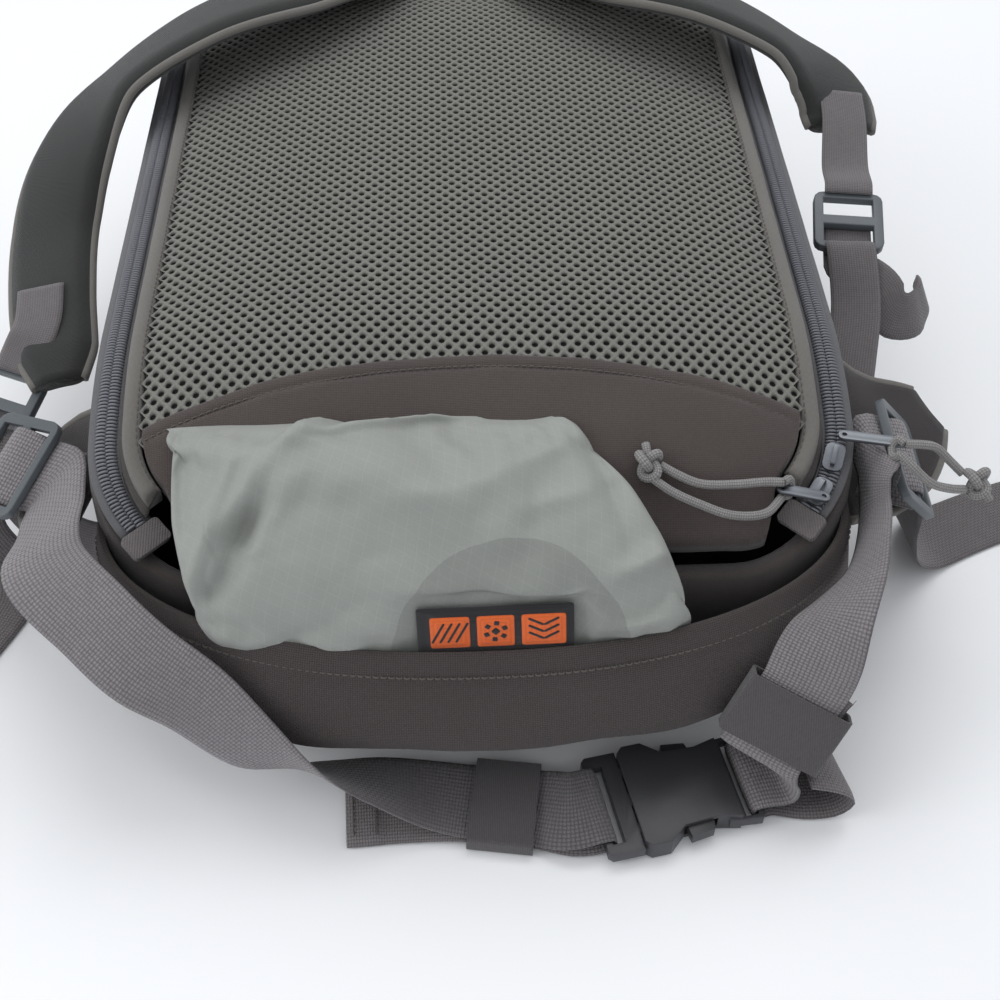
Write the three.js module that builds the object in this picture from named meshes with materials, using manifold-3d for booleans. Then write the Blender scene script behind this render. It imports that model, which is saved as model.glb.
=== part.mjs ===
// A camera backpack lying on its front, with the back panel up and the bottom end towards the viewer.
// Millimetres, +Z up. The origin is on the flat resting patch of the front, under the crest of the back panel.
// -Y is the bottom end, with the rain cover pocket. +Y is the top end, with the haul loop.
import * as THREE from "three";
import { mergeVertices } from "three/addons/utils/BufferGeometryUtils.js";
import Module from "manifold-3d";

const wasm = await Module();
wasm.setup();

// Driving dimensions
const seam = 0.3;
const pack = { halfWidth: 176, base: 216, top: 262, baseCorner: 61, topCorner: 90, depth: 157, wall: 7 };
const panel = {
  pad: 11,
  baseFallStart: 95,
  baseFall: 61,
  topFallStart: 150,
  topFall: 30,
  edgeRoll: 16,
  edgeEase: 0.7,
  archTop: 132,
  archRise: 24,
};
const yoke = { thickness: 8, notchFrom: 128, notchTo: 136 };
const zip = { inset: 11, tapeWidth: 16, tape: 1.2, chainWidth: 9.2, height: 3.4, endAngle: 45 };
const binding = { width: 8, below: 7, above: 1.8 };
const pocket = { sideSeam: 170, bulge: 102, lip: 90, lipRise: 9, wall: 2.2, clearOfFloor: 1.5 };
const cover = { thickness: 26 };
const label = { width: 67, height: 25, thickness: 1.2 };
const webbing = { belt: 38, shoulder: 25, thickness: 1.6 };
const slider = { length: 52, width: 40, thickness: 4, bar: 4, midBar: 5, rail: 5.5 };
const lock = { length: 38, width: 36, thickness: 5, bar: 4, midBar: 6, rail: 5 };
const buckle = {
  x: 0.543,
  y: -1.002,
  z: 7,
  turn: 11,
  width: 52,
  plate: 6,
  shell: 12,
  bar: 3,
  slot: 6,
  prongBase: 11,
  socket: 58,
  seat: 0.4,
};
const keeper = { wall: 1.4, length: 30 };
const wing = { width: 84, thickness: 4 };
const shoulder = { width: 62, thickness: 12 };
const cord = { diameter: 4, sides: 8, knot: 13 };
const pull = { length: 31, shortLength: 24, width: 5.6, thickness: 1.6, eye: 2.2 };
const zipSlider = { width: 9, length: 13, height: 5 };
const haul = { spread: 34, rise: 26, y: 221 };

// Materials
const finish = (color, roughness, metalness = 0) =>
  new THREE.MeshStandardMaterial({ color, roughness, metalness });
const cordura = finish(0x4e4744, 0.9);
const spacerMesh = finish(0x706f68, 0.95);
const bindingTape = finish(0x757169, 0.85);
const zipCoil = finish(0x4e545f, 0.6);
const coverCloth = finish(0x969b93, 0.6);
const labelWeave = finish(0x1c1c20, 0.8);
const beltWeb = finish(0x8c8789, 0.85);
const strapFoam = finish(0x3e413f, 0.9);
const hardPlastic = finish(0x5a6164, 0.5);
const bucklePlastic = finish(0x303034, 0.5);
const pullMetal = finish(0x8a8d90, 0.35, 1);
const cordBraid = finish(0x807d7c, 0.9);
const elastic = finish(0x5c5a5c, 0.9);

const group = new THREE.Group();
const V = (x, y, z) => new THREE.Vector3(x, y, z);
const radians = THREE.MathUtils.degToRad;
const lerp = THREE.MathUtils.lerp;

// Lengths that other pieces follow
const zipHalf = pack.halfWidth - zip.inset;
const bindingInset = zip.inset + zip.tapeWidth / 2 + seam + binding.width / 2;
const panelInset = bindingInset + binding.width / 2 + seam;
const panelHalf = pack.halfWidth - panelInset;
const front = pocket.sideSeam + pocket.bulge;
const rimInset = zip.inset - zip.tapeWidth / 2;

// A place given as shares of the pack's half width, of the pocket's reach and of the pack's depth.
const at = ([x, y, z]) => V(x * pack.halfWidth, y * front, z * pack.depth);

// Geometry with its faces turned outwards, from points and triangles.
function closedGeometry(points, faces) {
  const g = new THREE.BufferGeometry().setFromPoints(points);
  let volume = 0;
  faces.forEach(([a, b, c]) => {
    volume += points[a].dot(V(0, 0, 0).crossVectors(points[b], points[c]));
  });
  g.setIndex(faces.flatMap(([a, b, c]) => (volume < 0 ? [a, c, b] : [a, b, c])));
  return g;
}

// A skin through rings of equal count, closed by a fan at each end. On a thin twisted ribbon both faces are split
// along the same diagonal, so that they don't cross.
function loft(rings, ribbon = false) {
  const count = rings[0].length;
  const points = rings.flat();
  const faces = [];
  rings.slice(1).forEach((_, row) => {
    for (let i = 0; i < count; i++) {
      const j = (i + 1) % count;
      const a = row * count;
      const b = a + count;
      if (ribbon && i >= count / 2) faces.push([a + i, a + j, b + i], [a + j, b + j, b + i]);
      else faces.push([a + i, a + j, b + j], [a + i, b + j, b + i]);
    }
  });
  [0, rings.length - 1].forEach((end) => {
    const centre = rings[end].reduce((sum, p) => sum.add(p), V(0, 0, 0)).divideScalar(count);
    const middle = points.push(centre) - 1;
    for (let i = 0; i < count; i++) {
      const a = end * count + i;
      const b = end * count + ((i + 1) % count);
      faces.push(end ? [a, b, middle] : [b, a, middle]);
    }
  });
  return closedGeometry(points, faces);
}

// A slab over a grid of columns and rows, with its underside moved by drop.
function slab(columns, rows, point, drop) {
  const across = columns.length;
  const topSide = rows.flatMap((v) => columns.map((u) => point(u, v)));
  const under = topSide.map((p) => p.clone().add(drop));
  const total = topSide.length;
  const faces = [];
  const quad = (a, b, c, d) => faces.push([a, b, c], [a, c, d]);
  for (let r = 0; r + 1 < rows.length; r++) {
    for (let c = 0; c + 1 < across; c++) {
      const a = r * across + c;
      quad(a, a + 1, a + 1 + across, a + across);
      quad(total + a + across, total + a + across + 1, total + a + 1, total + a);
    }
  }
  const last = (rows.length - 1) * across;
  for (let c = 0; c + 1 < across; c++) {
    quad(c + 1, c, total + c, total + c + 1);
    quad(last + c, last + c + 1, total + last + c + 1, total + last + c);
  }
  for (let r = 0; r + 1 < rows.length; r++) {
    const a = r * across;
    const b = a + across - 1;
    quad(a, a + across, total + a + across, total + a);
    quad(b + across, b, total + b, total + b + across);
  }
  return closedGeometry([...topSide, ...under], faces);
}

function toSolid(geometry) {
  const bare = geometry.clone();
  bare.deleteAttribute("normal");
  bare.deleteAttribute("uv");
  const merged = mergeVertices(bare, 1e-4);
  const vertProperties = merged.attributes.position.array;
  const triVerts = new Uint32Array(merged.index.array);
  return new wasm.Manifold(new wasm.Mesh({ numProp: 3, vertProperties, triVerts }));
}

function toGeometry(solid) {
  const mesh = solid.getMesh();
  return new THREE.BufferGeometry()
    .setAttribute("position", new THREE.BufferAttribute(new Float32Array(mesh.vertProperties), 3))
    .setIndex(new THREE.BufferAttribute(new Uint32Array(mesh.triVerts), 1));
}

const biggest = (solid) => solid.decompose().sort((a, b) => b.volume() - a.volume())[0];

function piece(name, geometry, material) {
  const mesh = new THREE.Mesh(geometry, material);
  mesh.name = name;
  group.add(mesh);
  return mesh;
}

// A frame given by its centre, its length direction and the direction across it.
function frameAt(centre, along, across) {
  const x = across.clone().normalize();
  const z = V(0, 0, 0).crossVectors(x, along).normalize();
  const y = V(0, 0, 0).crossVectors(z, x);
  return new THREE.Matrix4().makeBasis(x, y, z).setPosition(centre);
}

// A flat outline of plain polygons, extruded to a thickness that is centred on its plane.
function plate(outline, holes, thickness) {
  const flat = (points) => points.map(([x, y]) => new THREE.Vector2(x, y));
  const shape = new THREE.Shape(flat(outline));
  holes.forEach((hole) => shape.holes.push(new THREE.Path(flat(hole))));
  const options = { depth: thickness, bevelEnabled: false };
  return new THREE.ExtrudeGeometry(shape, options).translate(0, 0, -thickness / 2);
}

// A rectangle with its corners cut by quarter rounds.
function roundedBox(width, length, radius, steps = 3) {
  const corners = [
    [1, -1, -90],
    [1, 1, 0],
    [-1, 1, 90],
    [-1, -1, 180],
  ];
  return corners.flatMap(([sx, sy, from]) =>
    Array.from({ length: steps + 1 }, (_, i) => {
      const a = radians(from + (90 * i) / steps);
      return [
        sx * (width / 2 - radius) + radius * Math.cos(a),
        sy * (length / 2 - radius) + radius * Math.sin(a),
      ];
    }),
  );
}

const box = (x0, x1, y0, y1) => [
  [x0, y0],
  [x1, y0],
  [x1, y1],
  [x0, y1],
];

// The crest, the fall at both ends and the rolled edges of the back panel.
function panelHeight(x, y) {
  const baseRun = Math.max(0, -y - panel.baseFallStart) / (pack.base - panel.baseFallStart);
  const topRun = Math.max(0, y - panel.topFallStart) / (pack.top - panel.topFallStart);
  const crest = pack.depth - panel.baseFall * baseRun ** 2 - panel.topFall * topRun ** 2;
  return crest - panel.edgeRoll * (1 - panel.edgeEase * baseRun ** 2) * Math.abs(x / zipHalf) ** 4;
}

const rimHeight = (y) => panelHeight(zipHalf, y) - zip.height - seam;

// Points along a corner's arc, with the outward direction of each.
function cornerArc(sideX, sideY, inset, from, to, steps) {
  const radius = sideY < 0 ? pack.baseCorner : pack.topCorner;
  const end = sideY < 0 ? pack.base : pack.top;
  const centre = V(sideX * (pack.halfWidth - radius), sideY * (end - radius), 0);
  return Array.from({ length: steps + 1 }, (_, i) => {
    const a = radians(lerp(from, to, i / steps));
    const out = V(Math.cos(a), Math.sin(a), 0);
    return { point: centre.clone().addScaledVector(out, radius - inset), out };
  });
}

function straight(a, b, steps) {
  return Array.from({ length: steps - 1 }, (_, i) => ({
    point: a.point.clone().lerp(b.point, (i + 1) / steps),
    out: a.out.clone(),
  }));
}

// The plan outline of the pack, drawn inwards by inset, as a closed ring.
function outline(inset) {
  const baseRight = cornerArc(1, -1, inset, -90, 0, 4);
  const topRight = cornerArc(1, 1, inset, 0, 90, 6);
  const topLeft = cornerArc(-1, 1, inset, 90, 180, 6);
  const baseLeft = cornerArc(-1, -1, inset, 180, 270, 4);
  const arcs = [baseRight, topRight, topLeft, baseLeft];
  const steps = [11, 2, 11, 2];
  return arcs.flatMap((arc, i) => [...arc, ...straight(arc.at(-1), arcs[(i + 1) % 4][0], steps[i])]);
}

// The run of the zip: from one base corner round the top to the other.
function zipRun(inset) {
  const left = cornerArc(-1, -1, inset, 180 + zip.endAngle, 180, 2);
  const topLeft = cornerArc(-1, 1, inset, 180, 90, 6);
  const topRight = cornerArc(1, 1, inset, 90, 0, 6);
  const right = cornerArc(1, -1, inset, 0, -zip.endAngle, 2);
  const arcs = [left, topLeft, topRight, right];
  const steps = [11, 2, 11];
  return arcs.flatMap((arc, i) => (i < 3 ? [...arc, ...straight(arc.at(-1), arcs[i + 1][0], steps[i])] : arc));
}

// A strip that follows the zip's run, with a profile of [outwards, upwards] points.
function edgeStrip(inset, profile, height) {
  return loft(
    zipRun(inset).map(({ point, out }) =>
      profile.map(([d, h]) => point.clone().addScaledVector(out, d).setZ(height(point) + h)),
    ),
  );
}

// Body: levels from the resting patch to the rim, each with its rise as a share of the rim and its inset.
const bodyLevels = [
  { rise: 0, inset: 34 },
  { rise: 0.02, inset: 20 },
  { rise: 0.08, inset: 9 },
  { rise: 0.2, inset: 2 },
  { rise: 0.35, inset: 0 },
  { rise: 0.75, inset: 0 },
  { rise: 0.92, inset: 1 },
  { rise: 1, inset: rimInset },
];

function bodySolid(levels, grow, floor, above) {
  const rimRing = outline(rimInset);
  return toSolid(
    loft(
      levels.map(({ rise, inset }) =>
        outline(inset - grow).map(({ point }, i) => {
          const rim = rimHeight(rimRing[i].point.y);
          return point.setZ(floor + rise * (rim - floor) + (rise === 1 ? above : 0));
        }),
      ),
    ),
  );
}

const bodyOuter = bodySolid(bodyLevels, 0, 0, 0);
const bodyInner = bodySolid(bodyLevels, -pack.wall, pack.wall, panel.edgeRoll + zip.height);
const bodyClear = bodySolid(bodyLevels, seam, -pack.wall, panel.edgeRoll);
piece("body_shell", toGeometry(bodyOuter.subtract(bodyInner)), cordura);

// Back panel: the mesh pad above the arch, and the cordura yoke below it.
const arch = (x) => -panel.archTop - panel.archRise * (x / panelHalf) ** 2;

function cornerReach(x, radius, flat) {
  return Math.sqrt(Math.max(0, radius ** 2 - Math.max(0, Math.abs(x) - flat) ** 2));
}

const chordSag = 0.7;
const topFlat = pack.halfWidth - pack.topCorner;
const baseFlat = pack.halfWidth - pack.baseCorner;
const topReach = pack.topCorner - panelInset - chordSag;
const meshTop = (x) => pack.top - pack.topCorner + cornerReach(x, topReach, topFlat);
const baseLine = (x, inset) => -(pack.base - pack.baseCorner) - cornerReach(x, pack.baseCorner - inset, baseFlat);

const yokeTop = (x) => arch(x) - 2 * seam;
function yokeBase(x) {
  const notch = THREE.MathUtils.smoothstep(Math.abs(x), yoke.notchFrom, yoke.notchTo);
  return lerp(baseLine(x, rimInset + pack.wall + seam), baseLine(x, panelInset + chordSag), notch);
}

const meshRows = Array.from({ length: 12 }, (_, i) => i / 11);
const notchMiddle = lerp(yoke.notchFrom, yoke.notchTo, 0.5);
const notchColumns = [yoke.notchFrom, notchMiddle, yoke.notchTo].map((x) => x / panelHalf);
const halfColumns = [0, 0.2, 0.4, 0.6, 0.75, ...notchColumns, 0.97, 1];
const panelColumns = [...halfColumns.slice(1).map((u) => -u).reverse(), ...halfColumns];
const yokeRows = [0, 0.15, 0.3, 0.45, 0.6, 0.8, 1];

const yokeHalf = panelHalf - chordSag - seam;
function panelPoint(u, v, low, high, half = panelHalf) {
  const x = u * half;
  const y = lerp(low(x), high(x), v);
  return V(x, y, panelHeight(x, y));
}

const meshPad = slab(panelColumns, meshRows, (u, v) => panelPoint(u, v, arch, meshTop), V(0, 0, -panel.pad));
piece("back_panel", meshPad, spacerMesh);
const yokePoint = (u, v) => panelPoint(u, v, yokeBase, yokeTop, yokeHalf);
const yokeSlab = slab(panelColumns, yokeRows, yokePoint, V(0, 0, -yoke.thickness));
piece("lumbar_yoke", yokeSlab, cordura);

const bindingHalf = binding.width / 2;
const bindingProfile = [
  [-bindingHalf, -binding.below],
  [bindingHalf, -binding.below],
  [bindingHalf, binding.above * 0.4],
  [bindingHalf * 0.6, binding.above],
  [-bindingHalf * 0.6, binding.above],
  [-bindingHalf, binding.above * 0.4],
];
const bindingStrip = edgeStrip(bindingInset, bindingProfile, (p) => panelHeight(p.x, p.y));
piece("panel_binding", bindingStrip, bindingTape);

const tapeHalf = zip.tapeWidth / 2;
const chainHalf = zip.chainWidth / 2;
const zipProfile = [
  [-tapeHalf, 0],
  [tapeHalf, 0],
  [tapeHalf, zip.tape],
  [chainHalf, zip.tape],
  [chainHalf * 0.8, zip.height],
  [-chainHalf * 0.8, zip.height],
  [-chainHalf, zip.tape],
  [-tapeHalf, zip.tape],
];
piece("zip_chain", edgeStrip(zip.inset, zipProfile, (p) => rimHeight(p.y) + seam), zipCoil);

// Rain cover pocket: levels of its bulging wall, as shares of the lip's height, of the half width and of the bulge.
const pocketLevels = [
  { rise: 0, half: 0.84, bulge: 0.53 },
  { rise: 0.12, half: 0.93, bulge: 0.68 },
  { rise: 0.27, half: 0.98, bulge: 0.83 },
  { rise: 0.5, half: 1.01, bulge: 1 },
  { rise: 0.72, half: 1, bulge: 0.95 },
  { rise: 0.88, half: 0.985, bulge: 0.87 },
  { rise: 1, half: 0.97, bulge: 0.79 },
];
const pocketRoundness = 2.3;
const pocketSteps = 22;

function pocketRing({ rise, half, bulge }, shrink, low, lift) {
  const w = half * pack.halfWidth - shrink;
  const d = bulge * pocket.bulge - shrink;
  const ring = Array.from({ length: pocketSteps + 1 }, (_, i) => {
    const a = Math.PI * (i / pocketSteps);
    const x = -w * Math.sign(Math.cos(a)) * Math.abs(Math.cos(a)) ** (2 / pocketRoundness);
    const y = -pocket.sideSeam - d * Math.sin(a) ** (2 / pocketRoundness);
    return V(x, y, low + rise * (pocket.lip - low + pocket.lipRise * (x / w) ** 2) + lift);
  });
  return [...ring, V(w, -pocket.sideSeam + 1, ring.at(-1).z), V(-w, -pocket.sideSeam + 1, ring[0].z)];
}

function pocketSolid(shrink, low, lift) {
  const rings = pocketLevels.map((level) => pocketRing(level, shrink, low, 0));
  if (lift) rings.push(pocketRing(pocketLevels.at(-1), shrink, low, lift));
  return toSolid(loft(rings));
}

const pocketOuter = pocketSolid(0, pocket.clearOfFloor, 0);
const pocketInner = pocketSolid(pocket.wall, pocket.clearOfFloor + pocket.wall, pocket.lip);
const pocketWall = pocketOuter.subtract(pocketInner).subtract(bodyClear);
piece("rain_pocket", toGeometry(pocketWall), cordura);

// Woven label, standing between the cover and the pocket's lip.
const labelFoot = V(0.04 * pack.halfWidth, -front + 24.5, pocket.lip - 8);
const labelUp = V(0, 0.3, 1).normalize();
const labelFrame = frameAt(labelFoot.clone().addScaledVector(labelUp, label.height / 2), labelUp, V(1, 0, 0.02));
const labelPlate = plate(roundedBox(label.width, label.height, 1), [], label.thickness).applyMatrix4(labelFrame);
const labelSide = label.width / 2 + seam;
const labelEdge = label.height / 2 + seam;
const labelRoom = box(-labelSide, labelSide, -labelEdge, labelEdge);
const labelReach = cover.thickness / 2;
const labelBlock = plate(labelRoom, [], labelReach).translate(0, 0, (labelReach - label.thickness) / 2 - seam);
const labelClear = toSolid(labelBlock.applyMatrix4(labelFrame));
piece("cover_label", labelPlate, labelWeave);

// Rain cover: stations from its folded top edge down into the pocket. Places are shares of the pack's half width,
// reach and depth, thick is a share of the cover's thickness and lean is the angle of the cloth from level.
const coverStations = [
  { y: -0.572, z: 0.85, left: -0.76, right: 0.22, thick: 0.16, lean: 15 },
  { y: -0.6, z: 0.85, left: -0.765, right: 0.26, thick: 0.42, lean: 20 },
  { y: -0.66, z: 0.82, left: -0.765, right: 0.35, thick: 0.75, lean: 28 },
  { y: -0.73, z: 0.76, left: -0.755, right: 0.43, thick: 0.95, lean: 38 },
  { y: -0.79, z: 0.68, left: -0.73, right: 0.5, thick: 1, lean: 50 },
  { y: -0.825, z: 0.6, left: -0.7, right: 0.53, thick: 0.9, lean: 66 },
  { y: -0.83, z: 0.48, left: -0.62, right: 0.5, thick: 0.85, lean: 82 },
  { y: -0.83, z: 0.3, left: -0.5, right: 0.42, thick: 0.8, lean: 90 },
  { y: -0.83, z: 0.14, left: -0.4, right: 0.34, thick: 0.3, lean: 90 },
];

function coverRing({ y, z, left, right, thick, lean }) {
  const steps = 24;
  const a = radians(lean);
  const up = V(0, -Math.sin(a), Math.cos(a));
  const half = (cover.thickness * thick) / 2;
  const middle = at([(left + right) / 2, y, z]).addScaledVector(up, half);
  const reach = ((right - left) / 2) * pack.halfWidth;
  return Array.from({ length: steps }, (_, i) => {
    const t = (2 * Math.PI * i) / steps;
    const flat = (v, power) => Math.sign(v) * Math.abs(v) ** power;
    return middle
      .clone()
      .add(V(reach * flat(Math.cos(t), 0.7), 0, 0))
      .addScaledVector(up, half * flat(Math.sin(t), 0.8));
  });
}

const yokeClear = toSolid(
  slab(
    panelColumns,
    yokeRows,
    (u, v) => panelPoint(u, v, yokeBase, (x) => yokeTop(x) + seam).add(V(0, 0, seam)),
    V(0, 0, -yoke.thickness * 3),
  ),
);
const pocketRoom = pocketSolid(pocket.wall + seam, pocket.clearOfFloor, pocket.lip);
const pocketClear = pocketSolid(-seam, 0, seam).subtract(pocketRoom);
const meshClear = toSolid(meshPad.clone().translate(0, 0, seam));
const coverSolid = [yokeClear, meshClear, bodyClear, pocketClear, labelClear].reduce(
  (solid, neighbour) => solid.subtract(neighbour),
  toSolid(loft(coverStations.map(coverRing))),
);
piece("rain_cover", toGeometry(biggest(coverSolid)), coverCloth);

// Slants neighbouring rings of a strap where its turn in its own plane would make one of its edges run backwards.
const edgeShare = 0.85;
const easings = 60;
function steady(rings) {
  for (let pass = 0; pass < easings; pass++) {
    rings.slice(1).forEach((ring, i) => {
      const before = rings[i];
      const step = ring.middle.clone().sub(before.middle);
      const most = edgeShare * step.length();
      step.normalize();
      const turn = ring.across.dot(step) * ring.halfWidth - before.across.dot(step) * before.halfWidth;
      const excess = (turn - THREE.MathUtils.clamp(turn, -most, most)) / 2;
      ring.across.addScaledVector(step, -excess / ring.halfWidth).normalize();
      before.across.addScaledVector(step, excess / before.halfWidth).normalize();
    });
  }
}

// A strap through stations of a centre, the direction across it, and its width and thickness where they change.
// The section is flat with its corners cut, and the stations are joined by smooth curves.
function strap(stations, width, thickness, stepLength = 11) {
  const curve = new THREE.CatmullRomCurve3(stations.map((s) => s.centre), false, "centripetal");
  const steps = Math.max(4, Math.round(curve.getLength() / stepLength));
  const centres = Array.from({ length: steps + 1 }, (_, i) => {
    const centre = curve.getPoint(i / steps);
    return centre.setZ(Math.max(centre.z, thickness / 2 + seam));
  });
  const section = [
    [-1, 0],
    [-0.94, -1],
    [0.94, -1],
    [1, 0],
    [0.94, 1],
    [-0.94, 1],
  ];
  const frames = centres.map((middle, i) => {
    const place = (i / steps) * (stations.length - 1);
    const k = Math.min(stations.length - 2, Math.floor(place));
    const mix = place - k;
    const [from, to] = [stations[k], stations[k + 1]];
    const next = centres[Math.min(i + 1, steps)];
    const tangent = next.clone().sub(centres[Math.max(i - 1, 0)]).normalize();
    const across = from.across.clone().lerp(to.across, mix);
    across.addScaledVector(tangent, -across.dot(tangent)).normalize();
    const halfWidth = (lerp(from.wide ?? 1, to.wide ?? 1, mix) * width) / 2;
    const halfThick = (lerp(from.thick ?? 1, to.thick ?? 1, mix) * thickness) / 2;
    return { middle, tangent, across, halfWidth, halfThick };
  });
  steady(frames);
  const rings = frames.map(({ middle, tangent, across, halfWidth, halfThick }) => {
    const up = V(0, 0, 0).crossVectors(tangent, across).normalize();
    return section.map(([a, b]) =>
      middle.clone().addScaledVector(across, a * halfWidth).addScaledVector(up, b * halfThick),
    );
  });
  return loft(rings, true);
}

const stop = (share, across, more = {}) => ({ centre: at(share), across: V(...across).normalize(), ...more });

// A place in the frame of a fitting: across it, along it and above it.
const inFrame = (frame, x, y, z) => V(x, y, z).applyMatrix4(frame);
const frameStop = (frame, y, z) => ({
  centre: inFrame(frame, 0, y, z),
  across: V(1, 0, 0).transformDirection(frame),
});

// The webbing's way through a three-bar slider: under the end bar, over the middle bar and back down.
const webHalf = webbing.thickness / 2;
const sliderEnd = slider.width / 2;
const sliderRise = slider.thickness / 2 + webHalf + seam;
function throughSlider(frame, side) {
  return [
    frameStop(frame, side * (sliderEnd + 7), -sliderRise - 2),
    frameStop(frame, side * (sliderEnd + 3), -sliderRise - 1),
    frameStop(frame, side * (sliderEnd - slider.bar), -sliderRise - 0.4),
    frameStop(frame, side * (sliderEnd - slider.bar - 5), -sliderRise * 0.5),
    frameStop(frame, side * slider.midBar * 0.9, sliderRise * 0.75),
    frameStop(frame, 0, sliderRise + 0.7),
    frameStop(frame, -side * slider.midBar * 0.9, sliderRise * 0.75),
  ];
}
const outOfSlider = (frame, side) => [
  frameStop(frame, side * (sliderEnd - slider.bar - 3.5), -sliderRise - 0.5),
  frameStop(frame, side * (sliderEnd + 3), -sliderRise - 1),
  frameStop(frame, side * (sliderEnd + 7), -sliderRise - 2),
];

function sliderPlate({ length, width, thickness, bar, midBar, rail }) {
  const halfLength = length / 2 - rail;
  const slot = (y0, y1) => box(-halfLength, halfLength, y0, y1).reverse();
  const holes = [slot(midBar / 2, width / 2 - bar), slot(bar - width / 2, -midBar / 2)];
  return plate(roundedBox(length, width, rail), holes, thickness);
}

const sliderFrames = {
  left: frameAt(at([-1.245, -0.515, 0.625]), V(-0.8, 0.45, -0.25), V(0.42, 0.85, 0.32)),
  right: frameAt(at([1.14, -0.586, 0.67]), V(0.5, 0.45, -0.66), V(0.09, -0.95, -0.28)),
};

// Buckle frame: its length runs from the prong end to the socket end.
const buckleTurn = V(Math.cos(radians(buckle.turn)), Math.sin(radians(buckle.turn)), 0);
const buckleCentre = V(buckle.x * pack.halfWidth, buckle.y * front, buckle.z);
const buckleFrame = frameAt(buckleCentre, buckleTurn, V(-buckleTurn.y, buckleTurn.x, 0).negate());
const barHeight = buckle.plate / 2 + webHalf + seam + 0.3;
const prongEnd = -buckle.socket / 2 - buckle.prongBase - buckle.slot;
const socketEnd = buckle.socket / 2;
const slotDrop = 0.8;

const overBar = (end, inward) => [
  frameStop(buckleFrame, end - inward * 12, barHeight + 0.2),
  frameStop(buckleFrame, end, barHeight + 0.2),
  frameStop(buckleFrame, end + inward * (buckle.bar + 0.6), barHeight),
  frameStop(buckleFrame, end + inward * (buckle.bar + webbing.thickness + 0.6), slotDrop),
];
const underBar = (end, inward) => [
  frameStop(buckleFrame, end + inward * (buckle.bar + webbing.thickness + 0.6), -slotDrop - 0.4),
  frameStop(buckleFrame, end + inward * (buckle.bar + 0.6), -barHeight + 0.1),
  frameStop(buckleFrame, end - inward * 8, -barHeight - 0.2),
];
const reversed = (stations) => [...stations].reverse();

// Keeper frames, whose length runs along the belt, and the belt's and its end's places inside a keeper.
const keeperFrames = {
  left: frameAt(at([0.055, -1.0165, 0.0333]), V(0.989, -0.148, 0), V(-0.148, -0.989, 0)),
  right: frameAt(at([0.756, -0.985, 0.352]), V(-0.44, -0.37, -0.78), V(0.85, -0.34, -0.34)),
};
const keeperShift = 1.5;
const keeperPly = webHalf + 4 * seam;
const keeperStops = (frame, x, z, ends) =>
  ends.map((y) => ({
    centre: inFrame(frame, x, y * (keeper.length / 2), z),
    across: V(1, 0, 0).transformDirection(frame),
  }));

// Belt webbing, from each slider down to the buckle.
const beltLeft = [
  ...reversed(throughSlider(sliderFrames.left, -1)),
  stop([-1.085, -0.65, 0.66], [0.62, 0.74, 0.27]),
  stop([-1.07, -0.77, 0.69], [0.82, 0.54, 0.22]),
  stop([-0.93, -0.865, 0.635], [0.7, 0.53, 0.49]),
  stop([-0.82, -0.92, 0.565], [0.73, 0.53, 0.43]),
  stop([-0.7, -0.95, 0.47], [0.75, 0.28, 0.6]),
  stop([-0.54, -0.995, 0.3], [0.8, -0.14, 0.58]),
  stop([-0.38, -1, 0.185], [0.2, -0.75, 0.63]),
  stop([-0.25, -0.995, 0.11], [-0.08, -0.92, 0.38]),
  stop([-0.14, -0.998, 0.06], [-0.12, -0.98, 0.12]),
  stop([-0.04, -1.007, 0.042], [-0.14, -0.99, 0]),
  stop([0.15, -1.026, 0.044], [-0.1, -0.99, 0]),
  ...overBar(prongEnd, 1),
];
const beltRight = [
  ...reversed(throughSlider(sliderFrames.right, -1)),
  stop([1.025, -0.69, 0.665], [0.06, -0.47, 0.88]),
  stop([0.975, -0.79, 0.65], [0.1, -0.55, 0.83]),
  stop([0.865, -0.905, 0.61], [0.6, -0.5, 0.5]),
  ...keeperStops(keeperFrames.right, -keeperShift, -keeperPly, [-1.3, -1, 1, 1.35]),
  stop([0.745, -0.99, 0.16], [0.6, -0.78, -0.1]),
  ...overBar(socketEnd, -1),
];
const besideBody = (geometry) => toGeometry(biggest(toSolid(geometry).subtract(bodyClear)));
piece("belt_webbing_left", strap(beltLeft, webbing.belt, webbing.thickness), beltWeb);

// The belt's ends, back from under the buckle's bars.
const endLeft = [
  ...underBar(prongEnd, 1),
  stop([0.15, -1.026, 0.0205], [-0.05, -0.99, 0]),
  stop([-0.04, -1.007, 0.0205], [-0.14, -0.99, 0]),
  stop([-0.2, -1.003, 0.013], [-0.1, -0.99, 0]),
  stop([-0.36, -1.008, 0.013], [-0.25, -0.97, 0]),
];
const endRight = [
  ...underBar(socketEnd, -1),
  stop([0.847, -0.985, 0.016], [0.2, -0.97, 0]),
  stop([0.91, -0.985, 0.035], [0.2, -0.97, 0]),
  stop([0.93, -0.985, 0.09], [0.25, -0.95, 0]),
  stop([0.88, -0.99, 0.15], [0.35, -0.9, 0.05]),
  stop([0.82, -0.99, 0.175], [0.4, -0.85, 0.05]),
];
piece("belt_end_left", strap(endLeft, webbing.belt, webbing.thickness), beltWeb);
piece("belt_end_right", strap(endRight, webbing.belt, webbing.thickness), beltWeb);

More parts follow.
